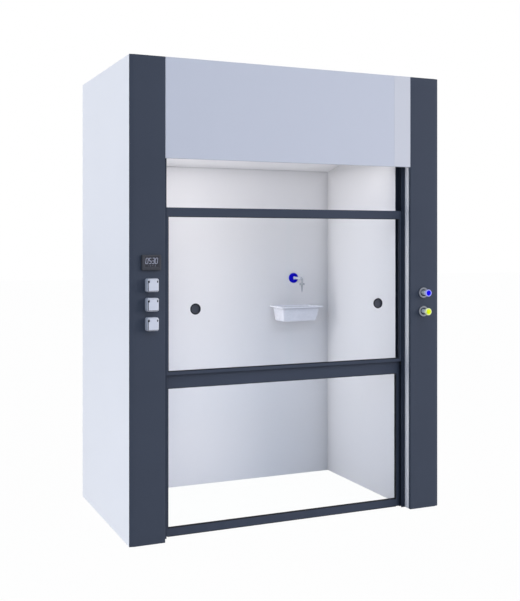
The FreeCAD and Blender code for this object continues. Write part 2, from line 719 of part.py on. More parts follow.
def exhaust_spigot():
    """Round duct collar through the roof, with a flange that rests on the roof."""
    flange_z = (HEIGHT, HEIGHT + SPIGOT_FLANGE_THICK)
    z = (UNDER_ROOF - SHEET, HEIGHT + SPIGOT_RISE)
    collar = rod_z(0, SPIGOT_Y, z, SPIGOT_R)
    collar = collar.fuse(rod_z(0, SPIGOT_Y, flange_z, SPIGOT_R + SPIGOT_FLANGE))
    return collar.cut(rod_z(0, SPIGOT_Y, z, SPIGOT_R - SHEET))


def lamp():
    """Glass over the lamp opening, and the lamp's sheet housing on top of it."""
    x = (-LAMP_HALF - LAMP_LAP, LAMP_HALF + LAMP_LAP)
    y = (LAMP_Y[0] - LAMP_LAP, LAMP_Y[1] + LAMP_LAP)
    glass_top = CEILING_TOP + LAMP_GLASS
    window = block(x, y, (CEILING_TOP, glass_top))
    housing = block(x, y, (glass_top, glass_top + LAMP_HEIGHT))
    inside = block((x[0] + SHEET, x[1] - SHEET), (y[0] + SHEET, y[1] - SHEET),
                   (glass_top, glass_top + LAMP_HEIGHT - SHEET))
    return housing.cut(inside), window


def monitor():
    """Housing and screen of the air-flow monitor on the left post."""
    x = (-CONTROL_X - MONITOR_WIDTH / 2, -CONTROL_X + MONITOR_WIDTH / 2)
    z = (MONITOR_Z - MONITOR_HEIGHT / 2, MONITOR_Z + MONITOR_HEIGHT / 2)
    housing = rounded(block(x, (-MONITOR_DEPTH, 0), z), MONITOR_ROUND, Vector(0, 1, 0))
    screen_z = MONITOR_Z + SCREEN_RISE
    window_x = (-CONTROL_X - SCREEN_WIDTH / 2, -CONTROL_X + SCREEN_WIDTH / 2)
    window_z = (screen_z - SCREEN_HEIGHT / 2, screen_z + SCREEN_HEIGHT / 2)
    floor = SCREEN_DEPTH - MONITOR_DEPTH
    housing = housing.cut(block(window_x, (-MONITOR_DEPTH, floor), window_z))
    return housing, block(window_x, (floor - SCREEN_THICK, floor), window_z)


def socket_housing(z):
    """Surface socket body: lid recess, pin holes, hinge pockets and the plug well."""
    body_x = (-CONTROL_X - SOCKET_WIDTH / 2, -CONTROL_X + SOCKET_WIDTH / 2)
    body = block(body_x, (-SOCKET_DEPTH, 0), (z - SOCKET_HEIGHT / 2, z + SOCKET_HEIGHT / 2))
    body = rounded(body, SOCKET_ROUND, Vector(0, 1, 0))
    recess = LID_WIDTH / 2 + LID_GAP
    recess_top = LID_HEIGHT / 2 + LID_GAP
    recess_back = LID_THICK + SEAT - SOCKET_DEPTH
    recess_x = (-CONTROL_X - recess, -CONTROL_X + recess)
    body = body.cut(block(recess_x, (-SOCKET_DEPTH, recess_back), (z - recess_top, z + recess_top)))
    well = WELL_SIZE / 2
    well_x = (-CONTROL_X - well, -CONTROL_X + well)
    well_z = (z - well - NOTCH_HEIGHT / 2, z + well - NOTCH_HEIGHT / 2)
    body = body.cut(block(well_x, (-SOCKET_DEPTH, -WELL_FLOOR), well_z))
    hinge_z = z + HINGE_DROP
    hinge_y = LID_THICK / 2 - SOCKET_DEPTH
    pin_half = recess + LID_PIN_SEAT
    pin_x = (-CONTROL_X - pin_half, -CONTROL_X + pin_half)
    body = body.cut(rod_x(pin_x, hinge_y, hinge_z, LID_PIN_R + LID_PIN_PLAY))
    for side in (-1, 1):
        edge = -CONTROL_X + side * recess
        pocket_x = sorted((edge, edge - side * NOTCH_WIDTH))
        pocket_z = (z + recess_top - NOTCH_HEIGHT, z + recess_top)
        body = body.cut(block(pocket_x, (-SOCKET_DEPTH, NOTCH_DEPTH - SOCKET_DEPTH), pocket_z))
    return body


def socket_insert(z):
    """Contact plate on the floor of a plug well."""
    half = WELL_SIZE / 2 - SEAT
    middle = z - NOTCH_HEIGHT / 2
    y = (-WELL_FLOOR - INSERT_THICK, -WELL_FLOOR)
    plate = block((-CONTROL_X - half, -CONTROL_X + half), y, (middle - half, middle + half))
    for side in (-1, 1):
        x = -CONTROL_X + side * CONTACT_SPACING / 2
        plate = plate.cut(rod_y(x, middle, y, CONTACT_R))
    return plate


def socket_lid(z):
    """Hinged lid with a rounded top edge and its two hinge pins."""
    half = LID_WIDTH / 2
    bottom = z - LID_HEIGHT / 2
    hinge_z = z + HINGE_DROP
    hinge_y = LID_THICK / 2 - SOCKET_DEPTH
    y = (-SOCKET_DEPTH, LID_THICK - SOCKET_DEPTH)
    x = (-CONTROL_X - half, -CONTROL_X + half)
    neck_half = half - NOTCH_WIDTH
    neck_x = (-CONTROL_X - neck_half, -CONTROL_X + neck_half)
    lid = block(x, y, (bottom, bottom + LID_HEIGHT - NOTCH_HEIGHT))
    lid = lid.fuse(block(neck_x, y, (bottom, hinge_z)))
    lid = lid.fuse(rod_x(neck_x, hinge_y, hinge_z, LID_THICK / 2))
    pin_half = half + LID_GAP + LID_PIN_SEAT - SEAT
    return lid.fuse(rod_x((-CONTROL_X - pin_half, -CONTROL_X + pin_half), hinge_y, hinge_z, LID_PIN_R))


def valve_rose(z):
    """Ring around a valve bush on the right post."""
    y = (-ROSE_THICK, 0)
    ring = rod_y(VALVE_X, z, y, ROSE_R)
    front = [edge for edge in ring.Edges if edge.BoundBox.YMax < FRONT - ROSE_THICK / 2]
    ring = ring.makeFillet(ROSE_ROUND, front)
    return ring.cut(rod_y(VALVE_X, z, y, ROSE_HOLE_R))


def valve_body(z):
    """Valve block inside the post, with the bush that carries the spindle."""
    x = (VALVE_X - VALVE_BODY_WIDTH / 2, VALVE_X + VALVE_BODY_WIDTH / 2)
    heights = (z - VALVE_BODY_HEIGHT / 2, z + VALVE_BODY_HEIGHT / 2)
    body = block(x, (VALVE_BODY_FRONT, VALVE_BODY_BACK), heights)
    body = body.fuse(rod_y(VALVE_X, z, (-BUSH_REACH, VALVE_BODY_FRONT), BUSH_R))
    bore = (-BUSH_REACH, SPINDLE_ENTRY + SEAT - BUSH_REACH)
    return body.cut(rod_y(VALVE_X, z, bore, SPINDLE_R + SPINDLE_PLAY))


def valve_knob(z):
    """Fluted knob with its spindle."""
    back = KNOB_LENGTH - KNOB_REACH
    knob = rod_y(VALVE_X, z, (-KNOB_REACH, back), KNOB_R)
    front = [edge for edge in knob.Edges if edge.BoundBox.YMax < FRONT + back - KNOB_LENGTH / 2]
    knob = knob.makeFillet(KNOB_ROUND, front)
    for i in range(KNOB_FLUTES):
        angle = 2 * math.pi * i / KNOB_FLUTES
        x = VALVE_X + KNOB_R * math.cos(angle)
        flute_z = z + KNOB_R * math.sin(angle)
        knob = knob.cut(rod_y(x, flute_z, (KNOB_ROUND * 2 - KNOB_REACH, back), KNOB_FLUTE_R))
    return knob.fuse(rod_y(VALVE_X, z, (back, SPINDLE_ENTRY - BUSH_REACH), SPINDLE_R))


def outlet():
    """Coloured rose, spout with its tail nut, and hose nozzle of the water outlet."""
    rose_y = (REAR_FACE - OUTLET_ROSE_THICK, REAR_FACE)
    rose = rod_y(OUTLET_X, OUTLET_Z, rose_y, OUTLET_ROSE_R)
    front = [edge for edge in rose.Edges if edge.BoundBox.YMax < FRONT + rose_y[1] - OUTLET_ROSE_THICK / 2]
    rose = rose.makeFillet(OUTLET_ROSE_ROUND, front)
    rose = rose.cut(rod_y(OUTLET_X, OUTLET_Z, rose_y, SPOUT_R + SEAT))
    nut_half = TAIL_NUT / 2
    nut_y = (REAR_LINER_BACK, REAR_LINER_BACK + REAR_CAVITY - TAIL_NUT_GAP)
    spout = rod_y(OUTLET_X, OUTLET_Z, (SPOUT_Y, REAR_LINER_BACK), SPOUT_R)
    spout = spout.fuse(block((OUTLET_X - nut_half, OUTLET_X + nut_half), nut_y,
                             (OUTLET_Z - nut_half, OUTLET_Z + nut_half)))
    spout = spout.fuse(Part.makeSphere(SPOUT_R, Vector(OUTLET_X, FRONT + SPOUT_Y, OUTLET_Z)))
    spout = spout.fuse(rod_z(OUTLET_X, SPOUT_Y, (NOZZLE_TOP, OUTLET_Z), BARB_TOP_R))
    return rose, spout


def outlet_nozzle():
    """Hose nozzle below the spout: a collar and a ringed, tapering barb."""
    collar_bottom = NOZZLE_TOP - COLLAR_HEIGHT
    outline = [(BARB_BORE_R, NOZZLE_TOP), (COLLAR_R, NOZZLE_TOP), (COLLAR_R, collar_bottom)]
    step = BARB_LENGTH / BARB_RINGS
    for i in range(BARB_RINGS):
        share = i / BARB_RINGS
        wide = BARB_TOP_R + (BARB_TIP_R - BARB_TOP_R) * share
        narrow = wide - step * math.tan(math.radians(BARB_ANGLE))
        outline += [(narrow, collar_bottom - i * step), (wide, collar_bottom - (i + BARB_LEAD) * step)]
    outline += [(BARB_TIP_R, collar_bottom - BARB_LENGTH), (BARB_BORE_R, collar_bottom - BARB_LENGTH)]
    points = [Vector(OUTLET_X + r, FRONT + SPOUT_Y, z) for r, z in outline]
    face = Part.Face(Part.makePolygon(points + points[:1]))
    return face.revolve(Vector(OUTLET_X, FRONT + SPOUT_Y, 0), Vector(0, 0, 1), 360)


def rounded_outline(x, y, z, radius):
    """Closed rectangle with rounded corners at one height."""
    flat = block(x, y, (z, z + 1))
    flat = rounded(flat, radius, Vector(0, 0, 1))
    lowest = min(flat.Faces, key=lambda face: face.BoundBox.ZMax)
    return lowest.OuterWire


def bowl(grow, top, bottom):
    """Tapering rounded body of the sink between two heights; its back is the steepest side."""
    x = (SINK_X[0] + SINK_SIDE_RIM - grow, SINK_X[1] - SINK_SIDE_RIM + grow)
    y = (SINK_Y[0] + SINK_RIM - grow, SINK_Y[1] - SINK_RIM + grow)
    radius = SINK_CORNER + grow
    upper = rounded_outline(x, y, top, radius)
    lower_x = (x[0] + SINK_TAPER, x[1] - SINK_TAPER)
    lower_y = (y[0] + SINK_TAPER, y[1] - SINK_BACK_SLOPE)
    lower = rounded_outline(lower_x, lower_y, bottom, radius)
    return Part.makeLoft([lower, upper], True, True)


def cup_sink():
    """White sink bowl with its rim, hung on the rear wall, and its drain socket with a stepped bore."""
    bottom = SINK_TOP - SINK_HEIGHT
    rim_z = (SINK_TOP - SINK_RIM_THICK, SINK_TOP)
    rim = rounded(block(SINK_X, SINK_Y, rim_z), SINK_CORNER, Vector(0, 0, 1))
    shell = bowl(0, rim_z[0], bottom)
    inner = bowl(-SINK_WALL, SINK_TOP, bottom + SINK_WALL)
    drain_y = (SINK_Y[0] + SINK_REACH / 2, DEPTH)
    sink = rim.fuse(shell).cut(inner)
    pipe = rod_y(SINK_MID, DRAIN_Z, drain_y, DRAIN_R).cut(shell)
    pipe = pipe.cut(rod_y(SINK_MID, DRAIN_Z, (DEPTH - DRAIN_SOCKET, DEPTH), DRAIN_R - DRAIN_WALL))
    outflow = rod_y(SINK_MID, DRAIN_Z, drain_y, STRAINER_R)
    return sink.cut(outflow), pipe.cut(outflow)


def sink_strainer():
    """Pierced disc in the drain hole of the sink."""
    lean = SINK_BACK_SLOPE * (1 - DRAIN_RISE / SINK_DEPTH)
    middle = SINK_Y[1] - SINK_RIM - lean - SINK_WALL / 2
    y = (middle - STRAINER_THICK / 2, middle + STRAINER_THICK / 2)
    disc = rod_y(SINK_MID, DRAIN_Z, y, STRAINER_R - SEAT)
    for i in range(STRAINER_HOLES):
        angle = 2 * math.pi * i / STRAINER_HOLES
        x = SINK_MID + STRAINER_RING_R * math.cos(angle)
        disc = disc.cut(rod_y(x, DRAIN_Z + STRAINER_RING_R * math.sin(angle), y, STRAINER_HOLE_R))
    return disc


def pipe_run(points):
    """Pipe along straight runs joined by tangent bends."""
    corners = [Vector(x, FRONT + y, z) for x, y, z in points]
    edges = []
    start = corners[0]
    for before, corner, after in zip(corners, corners[1:], corners[2:]):
        arrive = before.sub(corner).normalize()
        leave = after.sub(corner).normalize()
        bend_start = corner + arrive * PIPE_BEND
        bend_end = corner + leave * PIPE_BEND
        centre = corner + arrive * PIPE_BEND + leave * PIPE_BEND
        middle = centre + corner.sub(centre).normalize() * PIPE_BEND
        edges.append(Part.LineSegment(start, bend_start).toShape())
        edges.append(Part.Arc(bend_start, middle, bend_end).toShape())
        start = bend_end
    edges.append(Part.LineSegment(start, corners[-1]).toShape())
    direction = corners[1].sub(corners[0])
    ring = Part.Wire(Part.makeCircle(PIPE_R, corners[0], direction))
    return Part.Wire(edges).makePipeShell([ring], True, False)


def service_pipes():
    """Supply pipes from the roof to both valves, and the pipe from the blue valve to the outlet."""
    port_x = VALVE_X - VALVE_BODY_WIDTH / 2
    port_y = (VALVE_BODY_FRONT + VALVE_BODY_BACK) / 2
    roof_z = HEIGHT + SUPPLY_RISE
    pipes = []
    for x, z in zip(SUPPLY_X, VALVE_Z):
        port_z = z + PORT_RISE
        supply = pipe_run([
            (x, SUPPLY_DEPTH, roof_z),
            (x, SUPPLY_DEPTH, port_z),
            (PIPE_X, SUPPLY_DEPTH, port_z),
            (PIPE_X, port_y, port_z),
            (port_x, port_y, port_z),
        ])
        pipes.append(supply.fuse(rod_z(x, SUPPLY_DEPTH, (HEIGHT + COUPLING_GAP, roof_z), COUPLING_R)))
    feed_z = VALVE_Z[0] - PORT_RISE
    pipes.append(pipe_run([
        (port_x, port_y, feed_z),
        (PIPE_X, port_y, feed_z),
        (PIPE_X, PIPE_BACK_Y, feed_z),
        (OUTLET_X, PIPE_BACK_Y, feed_z),
        (OUTLET_X, PIPE_BACK_Y, OUTLET_Z - TAIL_NUT / 2),
    ]))
    return pipes


os.makedirs("parts", exist_ok=True)

right_cover = post_cover([(VALVE_X, z, BUSH_R + BUSH_PLAY) for z in VALVE_Z])
left_cover = mirrored(post_cover([]))
save("right_post_cover", [right_cover])
save("left_post_cover", [left_cover])
save("right_side_panel", [side_panel()])
save("left_side_panel", [mirrored(side_panel())])
save("side_liners", both_sides([side_liner()]))
save("rear_liner", [rear_liner()])
save("back_panel", [back_panel()])
save("ceiling_panel", [ceiling_panel()])
save("fascia_panel", [fascia_panel()])
save("roof_panel", [roof_panel([right_cover, left_cover])])

frame_uprights, frame_beams = frame()
save("frame_uprights", frame_uprights)
save("frame_beams", frame_beams)
save("liner_brackets", liner_brackets())
save("levelling_feet", levelling_feet())

save("sash_guides", both_sides(sash_guide()))
save("sash_stops", both_sides([sash_stop()]))
upper_stiles, upper_rails = upper_sash()
save("upper_sash_stiles", upper_stiles)
save("upper_sash_rails", upper_rails)
pane_edge = UPPER_STILE_IN + PANE_SIDE_ENTRY
save("left_pane", [sliding_pane((-pane_edge, PANE_LAP / 2), FRONT_PANE_Y, LEFT_PULL_X)])
save("right_pane", [sliding_pane((-PANE_LAP / 2, pane_edge), REAR_PANE_Y, RIGHT_PULL_X)])
save("left_finger_pull", [finger_pull(LEFT_PULL_X, FRONT_PANE_Y)])
save("right_finger_pull", [finger_pull(RIGHT_PULL_X, REAR_PANE_Y)])
lower_stiles, handle_rail, bottom_rail, lower_pane = lower_sash()
save("lower_sash_stiles", lower_stiles)
save("lower_sash_handle_rail", [handle_rail])
save("lower_sash_bottom_rail", [bottom_rail])
save("lower_sash_pane", [lower_pane])
save("bottom_seal", [bottom_seal()])

save("pulley_brackets", both_sides([pulley_bracket()]))
save("pulley_axles", both_sides(pulley_axle()))
save("upper_right_pulley", [pulley(UPPER_MID)])
save("upper_left_pulley", [mirrored(pulley(UPPER_MID))])
save("lower_right_pulley", [pulley(LOWER_MID)])
save("lower_left_pulley", [mirrored(pulley(LOWER_MID))])
save("upper_sash_cables", both_sides([sash_cable(UPPER_MID, UPPER_TOP)]))
save("lower_sash_cables", both_sides([sash_cable(LOWER_MID, LOWER_TOP)]))
weight_y = (UPPER_Y[0] - WEIGHT_SPARE, UPPER_Y[1])
save("upper_counterweights", both_sides([counterweight(weight_y, UPPER_WEIGHT_LENGTH)]))
weight_y = (LOWER_Y[0], LOWER_Y[1] + WEIGHT_SPARE)
save("lower_counterweights", both_sides([counterweight(weight_y, LOWER_WEIGHT_LENGTH)]))

save("exhaust_grille", [exhaust_grille()])
save("exhaust_plenum", exhaust_plenum())
save("exhaust_spigot", [exhaust_spigot()])
lamp_housing, lamp_window = lamp()
save("lamp_housing", [lamp_housing])
save("lamp_window", [lamp_window])

monitor_housing, monitor_screen = monitor()
save("monitor_housing", [monitor_housing])
save("monitor_screen", [monitor_screen])
save("socket_housings", [socket_housing(z) for z in SOCKET_Z])
save("socket_inserts", [socket_insert(z) for z in SOCKET_Z])
for socket_name, socket_z in zip(SOCKET_NAMES, SOCKET_Z):
    save("socket_lid_" + socket_name, [socket_lid(socket_z)])

save("valve_roses", [valve_rose(z) for z in VALVE_Z])
save("valve_bodies", [valve_body(z) for z in VALVE_Z])
for colour, valve_z in zip(VALVE_COLOURS, VALVE_Z):
    save(colour + "_valve_knob", [valve_knob(valve_z)])

outlet_rose, outlet_spout = outlet()
save("outlet_rose", [outlet_rose])
save("outlet_spout", [outlet_spout])
save("outlet_nozzle", [outlet_nozzle()])
sink, drain = cup_sink()
save("cup_sink", [sink])
save("drain_socket", [drain])
save("sink_strainer", [sink_strainer()])
save("service_pipes", service_pipes())
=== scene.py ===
"""Finishes, fittings and studio stage of a walk-in fume hood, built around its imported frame."""

import json
import math

import bmesh
import bpy
from bpy.props import FloatProperty, FloatVectorProperty, PointerProperty, StringProperty
from bpy.types import Operator, Panel, PropertyGroup
from mathutils import Matrix, Vector


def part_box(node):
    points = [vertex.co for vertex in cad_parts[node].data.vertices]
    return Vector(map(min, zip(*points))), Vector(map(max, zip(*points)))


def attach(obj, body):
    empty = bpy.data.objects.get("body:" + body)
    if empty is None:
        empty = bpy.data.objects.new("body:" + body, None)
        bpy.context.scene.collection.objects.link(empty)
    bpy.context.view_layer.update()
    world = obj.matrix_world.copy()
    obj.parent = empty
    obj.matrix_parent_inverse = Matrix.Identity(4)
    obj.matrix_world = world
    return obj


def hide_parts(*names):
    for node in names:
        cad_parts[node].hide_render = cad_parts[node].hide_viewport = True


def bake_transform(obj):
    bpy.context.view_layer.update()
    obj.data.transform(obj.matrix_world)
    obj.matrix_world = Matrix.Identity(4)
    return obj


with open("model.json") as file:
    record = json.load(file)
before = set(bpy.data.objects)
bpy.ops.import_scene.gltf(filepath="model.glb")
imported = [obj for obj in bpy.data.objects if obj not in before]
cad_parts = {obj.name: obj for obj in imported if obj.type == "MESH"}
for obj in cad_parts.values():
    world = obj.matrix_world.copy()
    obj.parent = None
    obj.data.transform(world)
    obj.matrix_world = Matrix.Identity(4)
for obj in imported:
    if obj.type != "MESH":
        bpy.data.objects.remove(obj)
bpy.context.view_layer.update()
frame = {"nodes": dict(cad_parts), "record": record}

bl_info = {
    "name": "Walk-in fume hood",
    "version": (1, 0, 0),
    "blender": (4, 5, 0),
    "location": "View3D > Sidebar > Fume hood",
    "description": "Dresses the frame of a walk-in fume hood with finishes, fittings and a studio stage",
    "category": "Object",
}

SLOT_OF = {row["node"]: row["material_slot"] for row in frame["record"]["subparts"]}
BODY_OF = {node: body for body, nodes in frame["record"]["behaviour"]["bodies"].items() for node in nodes}
SENSOR_WIDTH = 36.0


# Properties: the colours and sizes that a user would change

def linear(srgb):
    """Scene-linear colour of an sRGB triple from 0 to 255."""
    shares = [part / 255 for part in srgb]
    return tuple(s / 12.92 if s <= 0.04045 else ((s + 0.055) / 1.055) ** 2.4 for s in shares)


def linear_colour(label, text, rgb):
    """Colour property whose default is scene-linear."""
    return FloatVectorProperty(
        name=label, description=text, subtype="COLOR", size=3, min=0, max=1, default=rgb)


def colour(label, text, srgb):
    """Colour property whose default is an sRGB triple."""
    return linear_colour(label, text, linear(srgb))


def length(label, text, metres):
    """Length property in metres."""
    return FloatProperty(name=label, description=text, unit="LENGTH", min=0, default=metres, precision=5)


def number(label, text, value):
    """Plain number property."""
    return FloatProperty(name=label, description=text, default=value)


def lamp_power(label, text, watts):
    """Power property of a lamp."""
    return FloatProperty(name=label, description=text, unit="POWER", default=watts)


class HoodColours(PropertyGroup):
    """Colours of the finishes."""
    post: colour("Post paint", "Anthracite powder coat of the post covers", (69, 75, 85))
    panel: colour("Outer panels", "White laminate of the side and roof panels", (238, 243, 245))
    fascia: colour("Fascia", "Pale grey paint of the fascia panel", (197, 201, 207))
    label: colour("Label strip", "Pale bare film at the right end of the fascia", (204, 206, 208))
    liner: colour("Cabin lining", "White lining of the cabin", (234, 233, 234))
    # Painted light: the ceiling gets a lighter white than the lining, to make up for the little light that
    # reaches it
    ceiling: colour("Cabin ceiling", "White coat of the cabin's ceiling", (250, 249, 248))
    back: colour("Back sheet", "Coated sheet of the back panel", (205, 209, 215))
    sash: colour("Sash frames", "Dark anodised sash profiles", (68, 74, 85))
    guide: colour("Sash guides", "Dark guide channels", (47, 53, 64))
    glass: colour("Glass", "Clear tint of the panes", (254, 255, 255))
    rubber: colour("Rubber", "Seals and stops", (24, 25, 28))
    monitor: colour("Monitor housing", "Dark moulded plastic", (67, 68, 72))
    cup: colour("Finger cups", "Dark plastic of the finger cups", (66, 69, 77))
    rim: colour("Finger cup rims", "Nearly black rings round the finger cups", (30, 33, 39))
    screen: colour("Screen", "Unlit display window", (59, 59, 63))
    digits: colour("Digits", "Lit digits of the display", (150, 153, 166))
    socket: colour("Sockets", "White moulded socket housings and lids", (212, 215, 220))
    contact: colour("Contacts", "Grey contact inserts of the sockets", (120, 124, 132))
    blue: colour("Blue fittings", "Water colour code", (12, 0, 232))
    # The knobs' pale rims: partly their own pale grip colour, partly a painted highlight of their rounded
    # edge
    blue_pale_highlight: colour("Blue knob rim", "Pale grip ring of the water knob", (192, 192, 254))
    yellow: colour("Yellow fittings", "Gas colour code", (236, 253, 18))
    yellow_pale_highlight: colour("Yellow knob rim", "Pale grip ring of the gas knob", (248, 254, 186))
    spout: colour("Spout", "Enamelled pipe of the water outlet", (204, 207, 218))
    nozzle: colour("Nozzle", "Brushed elbow and hose nozzle", (180, 183, 190))
    disc: colour("Outlet disc", "Blue disc of the water outlet", (4, 0, 190))
    sink: colour("Cup sink", "White moulded sink", (239, 239, 245))
    chrome: colour("Chrome", "Plated fittings", (206, 208, 212))
    rose: colour("Valve roses", "Satin plated rings round the valve stems", (150, 154, 164))
    steel: colour("Steel", "Zinc-plated frame and feet", (168, 171, 175))
    pulley: colour("Pulleys", "Dark plastic of the rope pulleys", (58, 60, 64))
    iron: colour("Cast iron", "Balance weights", (70, 70, 72))
    copper: colour("Copper", "Supply pipes", (196, 122, 88))
    brass: colour("Valve bodies", "Satin nickel of the valve bodies", (236, 242, 237))
    duct: colour("Duct plastic", "Grey extraction and drain fittings", (176, 180, 186))
    lamp: colour("Lamp sheet", "White lamp housing", (228, 229, 232))


class HoodSizes(PropertyGroup):
    """Sizes of the details that are added to the frame."""
    edge: length("Edge rounding", "Rounding of sheet and profile edges", 0.0008)
    moulded_edge: length("Moulded edge rounding", "Rounding of moulded plastic edges", 0.0018)
    screw_radius: length("Screw head radius", "Radius of the panel screws' heads", 0.0055)
    screw_height: length("Screw head height", "Height of the panel screws' heads", 0.0026)
    screw_inset: length("Screw inset", "Distance of the screws from the panel edge", 0.018)
    screw_pitch: length("Screw pitch", "Greatest distance between panel screws", 0.30)
    label_width: length("Label width", "Width of the bare label strip", 0.104)
    film: length("Film thickness", "Thickness of the label strip", 0.0004)
    sealant: length("Sealant bead", "Leg of the sealant fillet in the cabin corners", 0.006)
    gasket: length("Gasket width", "Visible width of the glazing gaskets", 0.0025)
    knob_head: length("Knob head", "Length of the knobs' heads", 0.012)
    sink_rim: length("Sink rim", "Height of the sink's rim", 0.0095)
    sink_wall: length("Sink wall", "Wall of the sink's bowl", 0.004)
    digit_height: length("Digit height", "Height of the large lit digits", 0.031)
    small_digit_height: length("Small digit height", "Height of the lower row of digits", 0.007)


class HoodStage(PropertyGroup):
    """Camera and light of the studio stage."""
    place: FloatVectorProperty(
        name="Camera place", description="Where the camera stands", subtype="XYZ", unit="LENGTH",
        size=3, default=(-2.1494, -4.6335, 1.4879))
    turn: FloatProperty(
        name="Camera turn", description="Turn of the level camera about the vertical", unit="ROTATION",
        default=math.radians(-22.58))
    lens: FloatProperty(
        name="Lens", description="Focal length for the sensor's width", unit="CAMERA", default=53.65)
    shift_x: number("Shift across", "Camera shift that sets the framing across", 0.0616)
    shift_y: number("Shift up", "Camera shift that sets the framing in height", -0.0981)
    ambient: number("Ambient", "Brightness of the soft surrounding light", 0.31)
    back: number("Back light", "Strength of the soft light from behind the left", 1.98)
    left: number("Left light", "Strength of the faint light from the left front", 0.40)
    fill: number("Fill light", "Strength of the soft light from the right front", 0.61)
    high: number("High light", "Strength of the soft light from high in front", 0.79)
    right: number("Right light", "Strength of the soft light from the right", 1.40)
    cool: linear_colour("Cool tint", "Colour of the surrounding and front lights", (0.655, 0.772, 1.0))
    warm: linear_colour(
        "Warm tint", "Colour of the lights from the right and from behind", (1.0, 0.926, 0.931))
    cabin: lamp_power("Cabin lamp", "Power of the light under the cabin lamp", 0.1)
    side: lamp_power("Cabin side light", "Power of the tall light inside the left of the cabin", 3.7)
    gap: lamp_power("Gap light", "Power of the lights behind the fascia, on the top of the rear wall", 1.9)
    near: lamp_power("Near light", "Power of the soft light that stands at the right front", 38.0)


def colours():
    """Colours that the scene holds."""
    return bpy.context.scene.hood_colours


def sizes():
    """Sizes that the scene holds."""
    return bpy.context.scene.hood_sizes


# Shader nodes

def give(tree, node, inputs):
    """Links the inputs that are given as sockets, and sets the others to their values."""
    for key, value in inputs.items():
        if isinstance(value, bpy.types.NodeSocket):
            tree.links.new(value, node.inputs[key])
        else:
            node.inputs[key].default_value = value


def add_node(tree, kind, inputs=None, **settings):
    """New node with its settings and its inputs."""
    node = tree.nodes.new(kind)
    for name, value in settings.items():
        setattr(node, name, value)
    give(tree, node, inputs or {})
    return node


def maths(tree, operation, first, second=0.0):
    """Result socket of a Math node."""
    return add_node(tree, "ShaderNodeMath", {0: first, 1: second}, operation=operation).outputs[0]


def ramp(tree, value, low, high, start=0.0, end=1.0):
    """Value stretched from one range to another, held at the ends."""
    inputs = {"Value": value, "From Min": low, "From Max": high, "To Min": start, "To Max": end}
    return add_node(tree, "ShaderNodeMapRange", inputs).outputs["Result"]


def mixed(tree, factor, first, second, blend="MIX"):
    """Colour socket of two colours mixed."""
    inputs = {0: factor, 6: first, 7: second}
    return add_node(tree, "ShaderNodeMix", inputs, data_type="RGBA", blend_type=blend).outputs[2]


def parts(tree, vector):
    """X, Y and Z sockets of a vector."""
    return add_node(tree, "ShaderNodeSeparateXYZ", {0: vector}).outputs


def fading(tree, distance, reach):
    """Value that falls from one towards nothing with the distance."""
    share = maths(tree, "DIVIDE", maths(tree, "MULTIPLY", distance, -1.0), reach)
    return maths(tree, "EXPONENT", share)


def object_place(tree):
    """Place on the piece in metres, as a texture coordinate."""
    return add_node(tree, "ShaderNodeTexCoord").outputs["Object"]


def noise(tree, scale, detail=3.0, roughness=0.5, place=None, distortion=0.0):
    """Noise over the piece with so many features to the metre."""
    inputs = {
        "Vector": place or object_place(tree), "Scale": scale, "Detail": detail, "Roughness": roughness,
        "Distortion": distortion}
    return add_node(tree, "ShaderNodeTexNoise", inputs).outputs[0]


FLOAT = "NodeSocketFloat"
COLOUR = "NodeSocketColor"
VECTOR = "NodeSocketVector"


def effect(name, inputs, outputs):
    """Empty shader node group with named sockets, with its input sockets and its output node."""
    group = bpy.data.node_groups.new(name, "ShaderNodeTree")
    for label, kind, value in inputs:
        group.interface.new_socket(label, in_out="INPUT", socket_type=kind).default_value = value
    for label, kind in outputs:
        group.interface.new_socket(label, in_out="OUTPUT", socket_type=kind)
    return group, add_node(group, "NodeGroupInput").outputs, add_node(group, "NodeGroupOutput")


def tone_drift(name):
    """Slow drift of a surface's colour and roughness."""
    group, given, result = effect(
        name,
        (("Colour", COLOUR, (0.8, 0.8, 0.8, 1)), ("Amount", FLOAT, 0.04), ("Scale", FLOAT, 2.5),
         ("Roughness", FLOAT, 0.4), ("Spread", FLOAT, 0.06)),
        (("Colour", COLOUR), ("Roughness", FLOAT)))
    slow = ramp(group, noise(group, given["Scale"], 5.0, 0.6), 0.25, 0.75, -1.0, 1.0)
    gain = maths(group, "ADD", maths(group, "MULTIPLY", slow, given["Amount"]), 1.0)
    tint = add_node(group, "ShaderNodeCombineColor", {0: gain, 1: gain, 2: gain}).outputs[0]
    group.links.new(mixed(group, 1.0, given["Colour"], tint, "MULTIPLY"), result.inputs["Colour"])
    quick = maths(group, "MULTIPLY", given["Scale"], 7.0)
    patch = ramp(group, noise(group, quick, 4.0, 0.55), 0.3, 0.7, -1.0, 1.0)
    rough = maths(group, "ADD", maths(group, "MULTIPLY", patch, given["Spread"]), given["Roughness"])
    group.links.new(rough, result.inputs["Roughness"])
    return group


def coat_ripple(name):
    """Fine unevenness of a sprayed or baked coat."""
    group, given, result = effect(name, (("Scale", FLOAT, 500.0),), (("Height", FLOAT),))
    group.links.new(noise(group, given["Scale"], 2.0, 0.45), result.inputs["Height"])
    return group


def edge_wear(name):
    """Mask of rubbed spots along the edges."""
    group, given, result = effect(
        name, (("Radius", FLOAT, 0.0015), ("Amount", FLOAT, 0.4), ("Scale", FLOAT, 60.0)), (("Mask", FLOAT),))
    rounded = add_node(group, "ShaderNodeBevel", {"Radius": given["Radius"]}, samples=4).outputs[0]
    flat = add_node(group, "ShaderNodeNewGeometry").outputs["Normal"]
    agree = add_node(group, "ShaderNodeVectorMath", {0: rounded, 1: flat}, operation="DOT_PRODUCT")
    edge = ramp(group, agree.outputs["Value"], 0.98, 0.85)
    spots = ramp(group, noise(group, given["Scale"], 4.0, 0.6), 0.45, 0.62)
    mask = maths(group, "MULTIPLY", maths(group, "MULTIPLY", edge, spots), given["Amount"])
    group.links.new(mask, result.inputs["Mask"])
    return group


